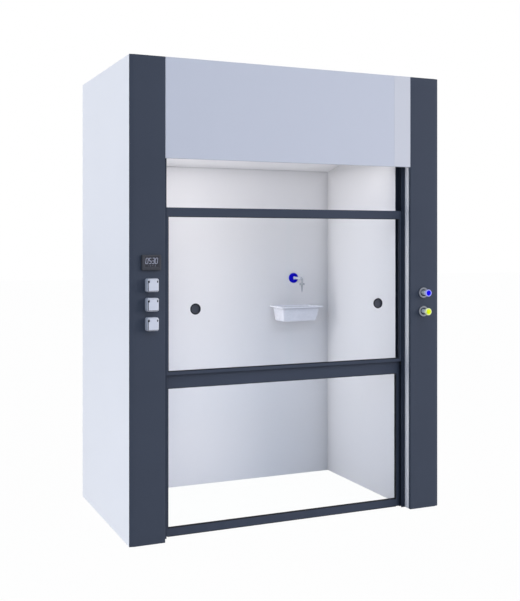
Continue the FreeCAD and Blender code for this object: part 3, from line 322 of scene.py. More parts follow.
def settled_dust(name):
    """Mask of thin dust on faces that look up."""
    group, given, result = effect(name, (("Amount", FLOAT, 0.3), ("Scale", FLOAT, 9.0)), (("Mask", FLOAT),))
    normal = add_node(group, "ShaderNodeNewGeometry").outputs["Normal"]
    level = ramp(group, parts(group, normal)["Z"], 0.75, 1.0)
    film = ramp(group, noise(group, given["Scale"], 6.0, 0.65), 0.35, 0.7, 0.35, 1.0)
    mask = maths(group, "MULTIPLY", maths(group, "MULTIPLY", level, film), given["Amount"])
    group.links.new(mask, result.inputs["Mask"])
    return group


def drawn_lines(name):
    """Fine lines left by drawing or brushing along a direction."""
    group, given, result = effect(
        name, (("Stretch", VECTOR, (900.0, 900.0, 6.0)),), (("Height", FLOAT), ("Streak", FLOAT)))
    stretched = add_node(
        group, "ShaderNodeVectorMath", {0: object_place(group), 1: given["Stretch"]}, operation="MULTIPLY")
    lines = noise(group, 1.0, 3.0, 0.6, stretched.outputs[0])
    group.links.new(lines, result.inputs["Height"])
    group.links.new(ramp(group, lines, 0.3, 0.7, -1.0, 1.0), result.inputs["Streak"])
    return group


def moulded_grain(name):
    """Fine spark-eroded grain of moulded plastic."""
    group, given, result = effect(name, (("Scale", FLOAT, 1600.0),), (("Height", FLOAT),))
    cells = add_node(
        group, "ShaderNodeTexVoronoi", {"Vector": object_place(group), "Scale": given["Scale"]},
        feature="SMOOTH_F1").outputs["Distance"]
    fine = noise(group, given["Scale"], 2.0, 0.5)
    group.links.new(maths(group, "ADD", cells, maths(group, "MULTIPLY", fine, 0.6)), result.inputs["Height"])
    return group


def cast_skin(name):
    """Lumpy skin and pits of a sand casting."""
    group, given, result = effect(name, (("Scale", FLOAT, 120.0),), (("Height", FLOAT), ("Pits", FLOAT)))
    lumps = noise(group, given["Scale"], 6.0, 0.65)
    group.links.new(lumps, result.inputs["Height"])
    group.links.new(ramp(group, lumps, 0.42, 0.3), result.inputs["Pits"])
    return group


def ground_edge(name):
    """Share of the glass that shows: all of its faces, and less of the narrow edges of upright panes."""
    group, given, result = effect(name, (("Amount", FLOAT, 1.0),), (("Shown", FLOAT),))
    normal = add_node(group, "ShaderNodeNewGeometry").outputs["True Normal"]
    depth = maths(group, "ABSOLUTE", parts(group, normal)["Y"])
    mask = maths(group, "MULTIPLY", ramp(group, depth, 0.7, 0.5), given["Amount"])
    group.links.new(maths(group, "SUBTRACT", 1.0, mask), result.inputs["Shown"])
    return group


def corner_shade(name):
    """Mask of painted shade that grows towards the inner corners of the cabin."""
    group, given, result = effect(
        name,
        (("Wall", FLOAT, 0.7), ("Rear", FLOAT, 0.4), ("Top", FLOAT, 2.0), ("Reach", FLOAT, 0.04),
         ("Amount", FLOAT, 0.3)),
        (("Mask", FLOAT),))
    place = parts(group, object_place(group))
    across = maths(group, "SUBTRACT", given["Wall"], maths(group, "ABSOLUTE", place["X"]))
    back = maths(group, "SUBTRACT", given["Rear"], place["Y"])
    up = maths(group, "SUBTRACT", given["Top"], place["Z"])
    nearer = maths(group, "MINIMUM", across, back)
    further = maths(group, "MINIMUM", maths(group, "MAXIMUM", across, back), up)
    away = maths(group, "MAXIMUM", maths(group, "MAXIMUM", nearer, further), 0.0)
    mask = maths(group, "MULTIPLY", fading(group, away, given["Reach"]), given["Amount"])
    group.links.new(mask, result.inputs["Mask"])
    return group


def rim_shade(name):
    """Mask of painted shadow under a rim: full at its level, fading downwards, none above it."""
    group, given, result = effect(
        name, (("Level", FLOAT, 1.0), ("Reach", FLOAT, 0.01), ("Amount", FLOAT, 0.3)), (("Mask", FLOAT),))
    drop = maths(group, "SUBTRACT", given["Level"], parts(group, object_place(group))["Z"])
    below = maths(group, "GREATER_THAN", drop, 0.0)
    mask = maths(group, "MULTIPLY", below, fading(group, drop, given["Reach"]))
    group.links.new(maths(group, "MULTIPLY", mask, given["Amount"]), result.inputs["Mask"])
    return group


def wipe_marks(name):
    """Mask of faint marks from wiping and hands."""
    group, given, result = effect(name, (("Scale", FLOAT, 4.0), ("Amount", FLOAT, 1.0)), (("Mask", FLOAT),))
    swirl = noise(group, given["Scale"], 4.0, 0.6, distortion=1.6)
    mask = maths(group, "MULTIPLY", ramp(group, swirl, 0.5, 0.72), given["Amount"])
    group.links.new(mask, result.inputs["Mask"])
    return group


EFFECTS = {
    "Tone drift": tone_drift,
    "Coat ripple": coat_ripple,
    "Edge wear": edge_wear,
    "Settled dust": settled_dust,
    "Drawn lines": drawn_lines,
    "Moulded grain": moulded_grain,
    "Cast skin": cast_skin,
    "Ground edge": ground_edge,
    "Corner shade": corner_shade,
    "Rim shade": rim_shade,
    "Wipe marks": wipe_marks,
}


def use_effect(tree, name, **values):
    """Output sockets of a shared effect placed in a material with its own values."""
    group = bpy.data.node_groups.get(name) or EFFECTS[name](name)
    inputs = {key.capitalize(): value for key, value in values.items()}
    return add_node(tree, "ShaderNodeGroup", inputs, node_tree=group).outputs


# Materials

def opaque(rgb):
    """Colour with full alpha for a socket."""
    return (*rgb, 1.0)


BARE_METAL = opaque(linear((178, 180, 184)))
RUBBED_PROFILE = opaque(linear((138, 143, 152)))
COAT_DUST = opaque(linear((196, 194, 190)))
PLASTIC_DUST = opaque(linear((188, 187, 184)))
# Grey of the painted shade in the cabin's inner corners
PAINTED_CORNER_SHADE = opaque(linear((96, 98, 102)))
# Grey of the painted shadow under the sink's rim
PAINTED_RIM_SHADOW = opaque(linear((96, 98, 104)))
RUBBER_BLOOM = opaque(linear((110, 110, 112)))
CASTING_PITS = opaque(linear((34, 33, 33)))
FLOOR_GREY = linear((205, 206, 209))
WHITE = (1, 1, 1, 1)


def new_material(name, rgb, **drift):
    """Material with its tree, its Principled shader and the drifting tone of its colour."""
    material = bpy.data.materials.new(name)
    material.use_nodes = True
    tree = material.node_tree
    tree.nodes.clear()
    shader = add_node(tree, "ShaderNodeBsdfPrincipled")
    add_node(tree, "ShaderNodeOutputMaterial", {"Surface": shader.outputs[0]})
    return material, tree, shader, use_effect(tree, "Tone drift", colour=opaque(rgb), **drift)


def set_shader(tree, shader, **values):
    """Sets or links the shader's sockets, named with underscores for spaces."""
    give(tree, shader, {key.replace("_", " "): value for key, value in values.items()})


def bump(tree, height, strength, distance):
    """Normal socket of a bump with its depth in metres."""
    inputs = {"Height": height, "Strength": strength, "Distance": distance}
    return add_node(tree, "ShaderNodeBump", inputs).outputs[0]


def coated(name, rgb, roughness, drift=0.03, spread=0.03, wear=0.0, dust=0.25, specular=0.4, corners=None):
    """Coat over sheet: slow drift, fine ripple, rubbed edges, dust on top and painted shade in given corners.
    """
    material, tree, shader, tone = new_material(name, rgb, amount=drift, roughness=roughness, spread=spread)
    rubbed = use_effect(tree, "Edge wear", amount=wear)["Mask"]
    base = mixed(tree, rubbed, tone["Colour"], BARE_METAL)
    film = use_effect(tree, "Settled dust", amount=dust)["Mask"]
    base = mixed(tree, film, base, COAT_DUST)
    # Painted shade that greys the coat towards the given inner corners
    if corners:
        base = mixed(tree, use_effect(tree, "Corner shade", **corners)["Mask"], base, PAINTED_CORNER_SHADE)
    dull = maths(tree, "ADD", tone["Roughness"], maths(tree, "MULTIPLY", film, 0.35))
    ripple = use_effect(tree, "Coat ripple", scale=650.0)["Height"]
    set_shader(
        tree, shader, Base_Color=base, Roughness=dull, Specular_IOR_Level=specular,
        Normal=bump(tree, ripple, 0.25, 0.00012))
    return material


def moulded(name, rgb, roughness, drift=0.02, grain=0.2, dust=0.2, specular=0.45, coat=0.0, rim=None):
    """Moulded plastic: faint drift, fine grain, marks from hands, dust on top and painted shadow under a
    given rim.
    """
    material, tree, shader, tone = new_material(
        name, rgb, amount=drift, scale=12.0, roughness=roughness, spread=0.04)
    film = use_effect(tree, "Settled dust", amount=dust, scale=40.0)["Mask"]
    base = mixed(tree, film, tone["Colour"], PLASTIC_DUST)
    # Painted shadow that greys the plastic under the given rim
    if rim:
        base = mixed(tree, use_effect(tree, "Rim shade", **rim)["Mask"], base, PAINTED_RIM_SHADOW)
    marks = use_effect(tree, "Wipe marks", scale=25.0, amount=0.08)["Mask"]
    height = use_effect(tree, "Moulded grain")["Height"]
    set_shader(
        tree, shader, Base_Color=base, Roughness=maths(tree, "ADD", tone["Roughness"], marks),
        Specular_IOR_Level=specular, Coat_Weight=coat, Coat_Roughness=0.08,
        Normal=bump(tree, height, grain, 0.00008))
    return material


def drawn_metal(name, rgb, roughness, stretch, depth=0.00004):
    """Bare or plated metal with drawn lines, wiped marks and slow drift."""
    material, tree, shader, tone = new_material(
        name, rgb, amount=0.06, scale=8.0, roughness=roughness, spread=0.05)
    lines = use_effect(tree, "Drawn lines", stretch=stretch)
    marks = use_effect(tree, "Wipe marks", scale=18.0, amount=0.1)["Mask"]
    streaks = maths(tree, "MULTIPLY", lines["Streak"], 0.12 * roughness)
    rough = maths(tree, "ADD", tone["Roughness"], streaks)
    set_shader(
        tree, shader, Base_Color=tone["Colour"], Metallic=1.0, Roughness=maths(tree, "ADD", rough, marks),
        Normal=bump(tree, lines["Height"], 0.3, depth))
    return material


def anodised(name, rgb, roughness, stretch):
    """Dark anodised profile: drawn lines under a satin dyed skin, rubbed at the edges."""
    material, tree, shader, tone = new_material(name, rgb, amount=0.05, roughness=roughness, spread=0.05)
    lines = use_effect(tree, "Drawn lines", stretch=stretch)
    rubbed = use_effect(tree, "Edge wear", amount=0.25, radius=0.001, scale=90.0)["Mask"]
    base = mixed(tree, rubbed, tone["Colour"], RUBBED_PROFILE)
    rough = maths(tree, "ADD", tone["Roughness"], maths(tree, "MULTIPLY", lines["Streak"], 0.05))
    set_shader(
        tree, shader, Base_Color=base, Roughness=rough, Specular_IOR_Level=0.05,
        Normal=bump(tree, lines["Height"], 0.2, 0.00003))
    return material


def clear_glass(name, rgb):
    """Float glass with faint wipe marks and unseen edges, which lets light through to the cabin."""
    material, tree, shader, tone = new_material(name, rgb, amount=0.006, scale=1.2)
    marks = use_effect(tree, "Wipe marks", scale=3.0, amount=0.035)["Mask"]
    shown = use_effect(tree, "Ground edge", amount=1.0)["Shown"]
    set_shader(
        tree, shader, Base_Color=tone["Colour"], Roughness=marks, IOR=1.005, Transmission_Weight=1.0,
        Metallic=0.0, Alpha=shown)
    path = add_node(tree, "ShaderNodeLightPath").outputs
    passing = maths(tree, "MAXIMUM", path["Is Shadow Ray"], path["Is Diffuse Ray"])
    clear = add_node(tree, "ShaderNodeBsdfTransparent", {"Color": opaque(rgb)})
    show_either(tree, passing, shader, clear)
    return material


def show_either(tree, share, first, second):
    """Shows a mix of two shaders on the surface."""
    both = add_node(tree, "ShaderNodeMixShader", {0: share, 1: first.outputs[0], 2: second.outputs[0]})
    tree.links.new(both.outputs[0], tree.nodes["Material Output"].inputs["Surface"])


def glowing(name, rgb, roughness, drift, scale, strength):
    """Milky cover or lit segment that glows, uneven as lamps are."""
    material, tree, shader, tone = new_material(name, rgb, amount=drift, scale=scale, roughness=roughness)
    set_shader(
        tree, shader, Base_Color=tone["Colour"], Roughness=tone["Roughness"], Emission_Color=tone["Colour"],
        Emission_Strength=strength)
    return material


def rubber(name, rgb):
    """Matt black rubber with a pale bloom in patches."""
    material, tree, shader, tone = new_material(name, rgb, amount=0.25, scale=14.0, roughness=0.75)
    bloom = use_effect(tree, "Wipe marks", scale=30.0, amount=0.12)["Mask"]
    height = use_effect(tree, "Moulded grain", scale=900.0)["Height"]
    set_shader(
        tree, shader, Base_Color=mixed(tree, bloom, tone["Colour"], RUBBER_BLOOM),
        Roughness=tone["Roughness"], Specular_IOR_Level=0.3, Normal=bump(tree, height, 0.35, 0.0001))
    return material


def cast_iron(name, rgb):
    """Painted sand casting with a lumpy skin and darker pits."""
    material, tree, shader, tone = new_material(name, rgb, amount=0.12, scale=10.0, roughness=0.6)
    skin = use_effect(tree, "Cast skin")
    set_shader(
        tree, shader, Base_Color=mixed(tree, skin["Pits"], tone["Colour"], CASTING_PITS),
        Roughness=tone["Roughness"], Specular_IOR_Level=0.4, Normal=bump(tree, skin["Height"], 0.6, 0.0006))
    return material


def lining(name, rgb, amount):
    """Coat of the cabin lining, with painted shade that greys it towards the inner corners."""
    corners = {
        "wall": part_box("sash_guides")[1].x,
        "rear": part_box("rear_liner")[0].y,
        "top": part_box("ceiling_panel")[0].z,
        "reach": 0.042,
        "amount": amount,
    }
    return coated(name, rgb, 0.42, drift=0.004, spread=0.01, dust=0.1, specular=0.3, corners=corners)


def sink_coat(name, rgb):
    """White moulding of the sink, with a painted shadow that greys it under its rim."""
    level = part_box("cup_sink")[1].z - sizes().sink_rim
    rim = {"level": level, "reach": 0.008, "amount": 0.5}
    return moulded(name, rgb, 0.25, coat=0.2, dust=0.05, rim=rim)


def made(maker, hue, *values, **settings):
    """Maker of a finish in one of the hood's colours."""
    return lambda name: maker(name, getattr(colours(), hue), *values, **settings)


# Features to the metre across and along the drawn lines of a metal
DOWN_LINES = (900.0, 900.0, 5.0)
ACROSS_LINES = (5.0, 900.0, 900.0)
ROUND_LINES = (500.0, 500.0, 500.0)
ROPE_LINES = (1200.0, 1200.0, 700.0)

FINISHES = {
    "post_paint": made(coated, "post", 0.45, drift=0.04, wear=0.2, specular=0.05),
    "panel_white": made(coated, "panel", 0.42, drift=0.006, spread=0.012),
    "fascia_grey": made(coated, "fascia", 0.4, drift=0.006, spread=0.012),
    "label_film": made(coated, "label", 0.36, drift=0.004, spread=0.01, dust=0.0),
    "liner_white": made(lining, "liner", 0.3),
    # Painted light: a lighter white and less painted corner shade for the dimly lit ceiling
    "ceiling_white": made(lining, "ceiling", 0.15),
    "back_sheet": made(coated, "back", 0.45, drift=0.03, wear=0.15),
    "frame_steel": made(drawn_metal, "steel", 0.42, DOWN_LINES),
    "axle_steel": made(drawn_metal, "steel", 0.3, ROUND_LINES),
    "guide_profile": made(anodised, "guide", 0.45, DOWN_LINES),
    "sash_profile": made(anodised, "sash", 0.4, DOWN_LINES),
    "rail_profile": made(anodised, "sash", 0.4, ACROSS_LINES),
    "glass": made(clear_glass, "glass"),
    "lamp_window": made(glowing, "lamp", 0.35, drift=0.05, scale=6.0, strength=0.9),
    "rubber_black": made(rubber, "rubber"),
    "monitor_plastic": made(moulded, "monitor", 0.45, specular=0.2),
    "cup_plastic": made(moulded, "cup", 0.4, specular=0.25),
    "rim_plastic": made(moulded, "rim", 0.4, specular=0.2),
    "screen_panel": made(moulded, "screen", 0.3, grain=0.0, specular=0.15),
    "digit_glow": made(glowing, "digits", 0.4, drift=0.12, scale=120.0, strength=0.3),
    "pulley_plastic": made(moulded, "pulley", 0.4),
    "cable_steel": made(drawn_metal, "steel", 0.35, ROPE_LINES, depth=0.0002),
    "weight_iron": made(cast_iron, "iron"),
    "duct_plastic": made(moulded, "duct", 0.45),
    "lamp_sheet": made(coated, "lamp", 0.4),
    "socket_white": made(moulded, "socket", 0.32, coat=0.15),
    "contact_grey": made(moulded, "contact", 0.4),
    "chrome": made(drawn_metal, "chrome", 0.14, ROUND_LINES, depth=0.00001),
    "rose_metal": made(drawn_metal, "rose", 0.32, ROUND_LINES),
    "valve_brass": made(moulded, "brass", 0.3, grain=0.05),
    "blue_plastic": made(moulded, "blue", 0.4, drift=0.01, specular=0.1, dust=0.05),
    # Pale rims whose colour partly paints the highlight on the knobs' rounded edges
    "blue_rim": made(moulded, "blue_pale_highlight", 0.35),
    "yellow_plastic": made(moulded, "yellow", 0.4, drift=0.01, specular=0.1, dust=0.05),
    "yellow_rim": made(moulded, "yellow_pale_highlight", 0.35),
    "nozzle_metal": made(drawn_metal, "nozzle", 0.32, ROUND_LINES),
    "spout_enamel": made(moulded, "spout", 0.3, grain=0.05),
    "disc_plastic": made(moulded, "disc", 0.4, drift=0.01, specular=0.1, dust=0.05),
    "sink_white": made(sink_coat, "sink"),
    "pipe_copper": made(drawn_metal, "copper", 0.3, DOWN_LINES),
}


def finish(name):
    """Material of a finish, made when it is first asked for."""
    full = name + "_finish"
    return bpy.data.materials.get(full) or FINISHES[name](full)


# Meshes

# Degrees from which an edge is rounded, and from which it shows as an edge
BEVEL_ANGLE = 40
SHARP_ANGLE = 35
# Metres within which points of the frame's meshes and of the added ones are one
WELD_DISTANCE = 1e-5
MERGE_DISTANCE = 1e-6


def dress(nodes, edge=None, finish_name=None):
    """Gives frame nodes their finish, and rounds their edges where a rounding is given."""
    for node in nodes:
        shown = frame["nodes"][node]
        shown.data.materials.clear()
        shown.data.materials.append(finish(finish_name or SLOT_OF[node]))
        if edge:
            weld = shown.modifiers.new("weld", "WELD")
            weld.merge_threshold = WELD_DISTANCE
            bevel = shown.modifiers.new("rounding", "BEVEL")
            bevel.width = edge
            bevel.segments = 3
            bevel.limit_method = "ANGLE"
            bevel.angle_limit = math.radians(BEVEL_ANGLE)
            shown.modifiers.new("normals", "WEIGHTED_NORMAL")


def make_piece(name, maker, finish_name, body, replaces=()):
    """Finishes a mesh as a named piece that rides on a body."""
    bmesh.ops.remove_doubles(maker, verts=maker.verts, dist=MERGE_DISTANCE)
    bmesh.ops.recalc_face_normals(maker, faces=maker.faces)
    mesh = bpy.data.meshes.new(name)
    maker.to_mesh(mesh)
    maker.free()
    mesh.polygons.foreach_set("use_smooth", [True] * len(mesh.polygons))
    mesh.set_sharp_from_angle(angle=math.radians(SHARP_ANGLE))
    mesh.materials.append(finish(finish_name))
    piece = bpy.data.objects.new(name, mesh)
    bpy.context.scene.collection.objects.link(piece)
    if body:
        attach(piece, body)
    if replaces:
        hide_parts(*replaces)
    return piece


def loft(maker, rings, loop=False):
    """Skin over rings of equal count: closed on itself as a loop, else capped at both ends."""
    rows = [[maker.verts.new(point) for point in ring] for ring in rings]
    pairs = list(zip(rows, rows[1:]))
    if loop:
        pairs.append((rows[-1], rows[0]))
    for low, high in pairs:
        for i, corner in enumerate(low):
            j = (i + 1) % len(low)
            maker.faces.new((corner, low[j], high[j], high[i]))
    if not loop:
        maker.faces.new(list(reversed(rows[0])))
        maker.faces.new(rows[-1])


def lofted(rings, loop=False):
    """New mesh with one skin over rings."""
    maker = bmesh.new()
    loft(maker, rings, loop)
    return maker


def ring_of(place, outline, along):
    """Outline of (u, v) pairs set at a height along the place's own Z axis."""
    return [place @ Vector((u, v, along)) for u, v in outline]


def circle(radius, steps):
    """Round outline."""
    turns = [2 * math.pi * i / steps for i in range(steps)]
    return [(radius * math.cos(t), radius * math.sin(t)) for t in turns]


def hexagon(across, steps):
    """Six-sided outline, with as many points as a round one."""
    points = []
    for i in range(steps):
        turn = 2 * math.pi * i / steps
        part = (turn + math.pi / 6) % (math.pi / 3) - math.pi / 6
        reach = across / 2 / math.cos(part)
        points.append((reach * math.cos(turn), reach * math.sin(turn)))
    return points


def rounded_box_outline(width, height, radius, steps=6):
    """Rectangle with round corners about the origin."""
    points = []
    for i, (side, up) in enumerate(((1, 1), (-1, 1), (-1, -1), (1, -1))):
        for step in range(steps + 1):
            turn = math.radians(90 * i + 90 * step / steps)
            u = side * (width / 2 - radius) + radius * math.cos(turn)
            v = up * (height / 2 - radius) + radius * math.sin(turn)
            points.append((u, v))
    return points


def box_rings(place, width, height, radius, steps, rise=0.0):
    """Rings of a rounded box for pairs of (inset, height along), all raised by so much."""
    rings = []
    for inset, along in steps:
        outline = rounded_box_outline(width - 2 * inset, height - 2 * inset, radius)
        rings.append(ring_of(place, [(u, v + rise) for u, v in outline], along))
    return rings


def turned(place, profile, steps=40):
    """Rings of a turned shape from (radius, height) pairs about the place's Z axis."""
    return [ring_of(place, circle(radius, steps), along) for radius, along in profile]


def facing_front(x, y, z):
    """Place whose Z axis points out of the hood's front, with X across and Y up."""
    turn = Matrix(((1, 0, 0), (0, 0, -1), (0, 1, 0))).to_4x4()
    return Matrix.Translation((x, y, z)) @ turn


def front_middle(low, high, y):
    """Place that faces front in the middle of a box, at a depth."""
    return facing_front((low.x + high.x) / 2, y, (low.z + high.z) / 2)


def facing_back(x, y, z):
    """Place whose Z axis points out of the hood's back."""
    turn = Matrix(((-1, 0, 0), (0, 0, 1), (0, 1, 0))).to_4x4()
    return Matrix.Translation((x, y, z)) @ turn


def standing(x, y, z):
    """Place whose Z axis points up."""
    return Matrix.Translation((x, y, z))


def swept_tube(maker, path, radius, side, steps=24):
    """Round bar along a flat path; side is square to the plane of the path."""
    rings = []
    for i, point in enumerate(path):
        before = path[max(i - 1, 0)]
        after = path[min(i + 1, len(path) - 1)]
        along = (after - before).normalized()
        up = side.cross(along).normalized()
        rings.append([point + side * u + up * v for u, v in circle(radius, steps)])
    loft(maker, rings)


def quarter_turn(centre, start, end, steps=8):
    """Points of a quarter circle from centre + start to centre + end."""
    turns = [math.pi / 2 * i / steps for i in range(steps + 1)]
    return [centre + start * math.cos(t) + end * math.sin(t) for t in turns]


def rectangle_frame(maker, place, width, height, band, depth):
    """Flat rectangular ring of square section, outer size given, standing on its place."""
    rings = []
    for inset, along in ((0, 0), (0, depth), (band, depth), (band, 0)):
        half_u = width / 2 - inset
        half_v = height / 2 - inset
        corners = ((half_u, half_v), (-half_u, half_v), (-half_u, -half_v), (half_u, -half_v))
        rings.append(ring_of(place, corners, along))
    loft(maker, rings, loop=True)


def button_screw(maker, place, radius, height):
    """Button head with a hexagon socket."""
    steps = 24
    head = ((1.0, 0.0), (1.0, 0.3), (0.88, 0.68), (0.66, 0.94), (0.5, 1.0))
    rings = turned(place, [(radius * share, height * rise) for share, rise in head], steps)
    socket = hexagon(radius * 0.8, steps)
    rings.append(ring_of(place, socket, height))
    rings.append(ring_of(place, socket, height * 0.35))
    loft(maker, rings)


def evenly(low, high, pitch):
    """Even places from low to high, no further apart than pitch."""
    count = max(1, math.ceil((high - low) / pitch))
    return [low + (high - low) * i / count for i in range(count + 1)]


# Operators, one for each group of pieces

class HoodOperator(Operator):
    """Common settings of the hood's operators."""
    bl_options = {"REGISTER", "UNDO"}


class HOOD_OT_panels(HoodOperator):
    """Dress the outer panels and set their screws and the bare label strip"""
    bl_idname = "hood.panels"
    bl_label = "Outer panels"

    def execute(self, context):
        size = sizes()
        dress(["left_side_panel", "right_side_panel", "roof_panel", "back_panel", "fascia_panel"], size.edge)
        self.screws(size)
        self.label(size)
        return {"FINISHED"}

    def screws(self, size):
        """Rows of screws round the back panel and along the roof."""
        low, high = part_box("back_panel")
        left = low.x + size.screw_inset
        right = high.x - size.screw_inset
        bottom = low.z + size.screw_inset
        top = high.z - size.screw_inset
        spots = [(x, z) for x in (left, right) for z in evenly(bottom, top, size.screw_pitch)]
        spots += [(x, z) for z in (bottom, top) for x in evenly(left, right, size.screw_pitch)[1:-1]]
        self.screw_set("back_panel_screws", [facing_back(x, high.y, z) for x, z in spots], size)
        low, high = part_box("roof_panel")
        inset = 2 * size.screw_inset
        across = evenly(low.x + inset, high.x - inset, size.screw_pitch)
        spots = [(x, y) for y in (low.y + inset, high.y - inset) for x in across]
        self.screw_set("roof_screws", [standing(x, y, high.z) for x, y in spots], size)

    def screw_set(self, name, places, size):
        """Piece of like screws at their places."""
        maker = bmesh.new()
        for place in places:
            button_screw(maker, place, size.screw_radius, size.screw_height)
        make_piece(name, maker, "axle_steel", "cabinet")

    def label(self, size):
        """Pale film at the right end of the fascia, left bare."""
        low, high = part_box("fascia_panel")
        margin = 0.003
        width = size.label_width - margin
        height = high.z - low.z - 2 * margin
        place = facing_front(high.x - margin - width / 2, low.y, (low.z + high.z) / 2)
        half = 0.5 * size.film
        rings = box_rings(place, width, height, 0.002, ((0, 0), (0, half), (half, size.film)))
        make_piece("label_strip", lofted(rings), "label_film", "cabinet")


class HOOD_OT_posts(HoodOperator):
    """Dress the dark front covers of both side walls"""
    bl_idname = "hood.posts"
    bl_label = "Post covers"

    def execute(self, context):
        dress(["left_post_cover", "right_post_cover"], sizes().edge)
        return {"FINISHED"}


class HOOD_OT_cabin(HoodOperator):
    """Dress the cabin lining and run sealant along its corners"""
    bl_idname = "hood.cabin"
    bl_label = "Cabin lining"

    def execute(self, context):
        dress(["side_liners", "rear_liner"], sizes().edge)
        dress(["ceiling_panel"], sizes().edge, "ceiling_white")
        leg = sizes().sealant
        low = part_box("rear_liner")[0]
        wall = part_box("sash_guides")[1].x
        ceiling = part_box("ceiling_panel")[0].z
        maker = bmesh.new()
        for side in (-1, 1):
            corner = Vector((side * wall, low.y, 0))
            ends = (Vector((0, 0, low.z)), Vector((0, 0, ceiling)))
            self.fillet(maker, corner, Vector((-side, 0, 0)), Vector((0, -1, 0)), leg, ends)
        corner = Vector((0, low.y, ceiling))
        ends = (Vector((leg - wall, 0, 0)), Vector((wall - leg, 0, 0)))
        self.fillet(maker, corner, Vector((0, -1, 0)), Vector((0, 0, -1)), leg, ends)
        make_piece("corner_sealant", maker, "liner_white", "cabinet")
        return {"FINISHED"}

    def fillet(self, maker, corner, first, second, leg, ends):
        """Hollow bead of sealant along a corner between its two ends."""
        centre = corner + (first + second) * leg
        section = [corner] + quarter_turn(centre, -second * leg, -first * leg, 5)
        loft(maker, [[point + end for point in section] for end in ends])


class HOOD_OT_structure(HoodOperator):
    """Dress the steel frame, its brackets and the levelling feet"""
    bl_idname = "hood.structure"
    bl_label = "Steel frame"

    def execute(self, context):
        dress(["frame_uprights", "frame_beams", "liner_brackets", "levelling_feet"], sizes().edge)
        return {"FINISHED"}


class HOOD_OT_sashes(HoodOperator):
    """Dress the sashes, their panes, guides and seals, and set the glazing gaskets"""
    bl_idname = "hood.sashes"
    bl_label = "Sashes"

    def execute(self, context):
        size = sizes()
        dress(["upper_sash_stiles", "lower_sash_stiles", "sash_guides"], size.edge)
        rails = ["upper_sash_rails", "lower_sash_handle_rail", "lower_sash_bottom_rail"]
        dress(rails, size.edge, "rail_profile")
        dress(["left_pane", "right_pane", "lower_sash_pane"])
        dress(["sash_stops", "bottom_seal"], size.edge)
        self.gaskets(size)
        return {"FINISHED"}

    def gaskets(self, size):
        """Rubber lips between the frames and the glass, on both faces of each sash."""
        for sash, panes in (
                ("upper", ("left_pane", "right_pane")),
                ("lower", ("lower_sash_pane", "lower_sash_pane"))):
            stile_low, stile_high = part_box(sash + "_sash_stiles")
            top, bottom, inner = self.clear_opening(sash)
            face = 0.0004
            front_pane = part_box(panes[0])[0].y
            rear_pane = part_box(panes[1])[1].y
            maker = bmesh.new()
            for start, end in ((stile_low.y + face, front_pane), (rear_pane, stile_high.y - face)):
                place = facing_front(0, end, (top + bottom) / 2)
                rectangle_frame(maker, place, 2 * inner, top - bottom, size.gasket, end - start)
            make_piece(sash + "_sash_gaskets", maker, "rubber_black", sash + "_sash")

    def clear_opening(self, sash):
        """Top, bottom and half width of the glass that shows in a sash."""
        if sash == "upper":
            rails = frame["nodes"]["upper_sash_rails"].data.vertices
            middle = sum(corner.co.z for corner in rails) / len(rails)
            top = min(corner.co.z for corner in rails if corner.co.z > middle)
            bottom = max(corner.co.z for corner in rails if corner.co.z < middle)
        else:
            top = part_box("lower_sash_handle_rail")[0].z
            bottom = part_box("lower_sash_bottom_rail")[1].z
        inner = min(abs(corner.co.x) for corner in frame["nodes"][sash + "_sash_stiles"].data.vertices)
        return top, bottom, inner


class HOOD_OT_finger_pulls(HoodOperator):
    """Build the round finger cups of the sliding panes"""
    bl_idname = "hood.finger_pulls"
    bl_label = "Finger pulls"

    def execute(self, context):
        for side in ("left", "right"):
            self.cup(side)
        return {"FINISHED"}

    def cup(self, side):
        """Cup with a rolled flange in front of its pane and a clip ring behind it."""
        node = side + "_finger_pull"
        low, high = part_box(node)
        steps = 56
        core = 0.004
        flange = 0.0015
        clip = 0.0012
        wall = 0.0015
        radius = (high.x - low.x) / 2
        bowl = radius - 0.007
        body = bowl + wall
        rear = -(high.y - low.y - flange)
        floor = rear + wall
        profile = (
            (core, floor), (bowl - 0.0026, floor), (bowl - 0.0008, floor + 0.0005),
            (bowl - 0.0001, floor + 0.002), (bowl, 0.0005), (bowl + 0.0005, 0.0012), (bowl + 0.0015, flange),
            (radius - 0.0022, flange), (radius - 0.0008, 0.0012), (radius, 0.0004), (radius, 0), (body, 0),
            (body, rear + clip), (radius - 0.002, rear + clip), (radius - 0.002, rear + 0.0004),
            (radius - 0.0024, rear), (core, rear),
        )
        place = front_middle(low, high, low.y + flange)
        cup = lofted(turned(place, profile, steps))
        make_piece(side + "_finger_cup", cup, "cup_plastic", BODY_OF[node], (node,))
        section = (
            (bowl, 0.0008), (bowl + 0.0004, flange), (bowl + 0.0012, flange + 0.0003),
            (radius - 0.0016, flange + 0.0003), (radius - 0.0004, flange - 0.0002), (radius, 0.0004))
        rim = lofted(turned(place, section, steps), loop=True)
        make_piece(side + "_finger_rim", rim, "rim_plastic", BODY_OF[node])


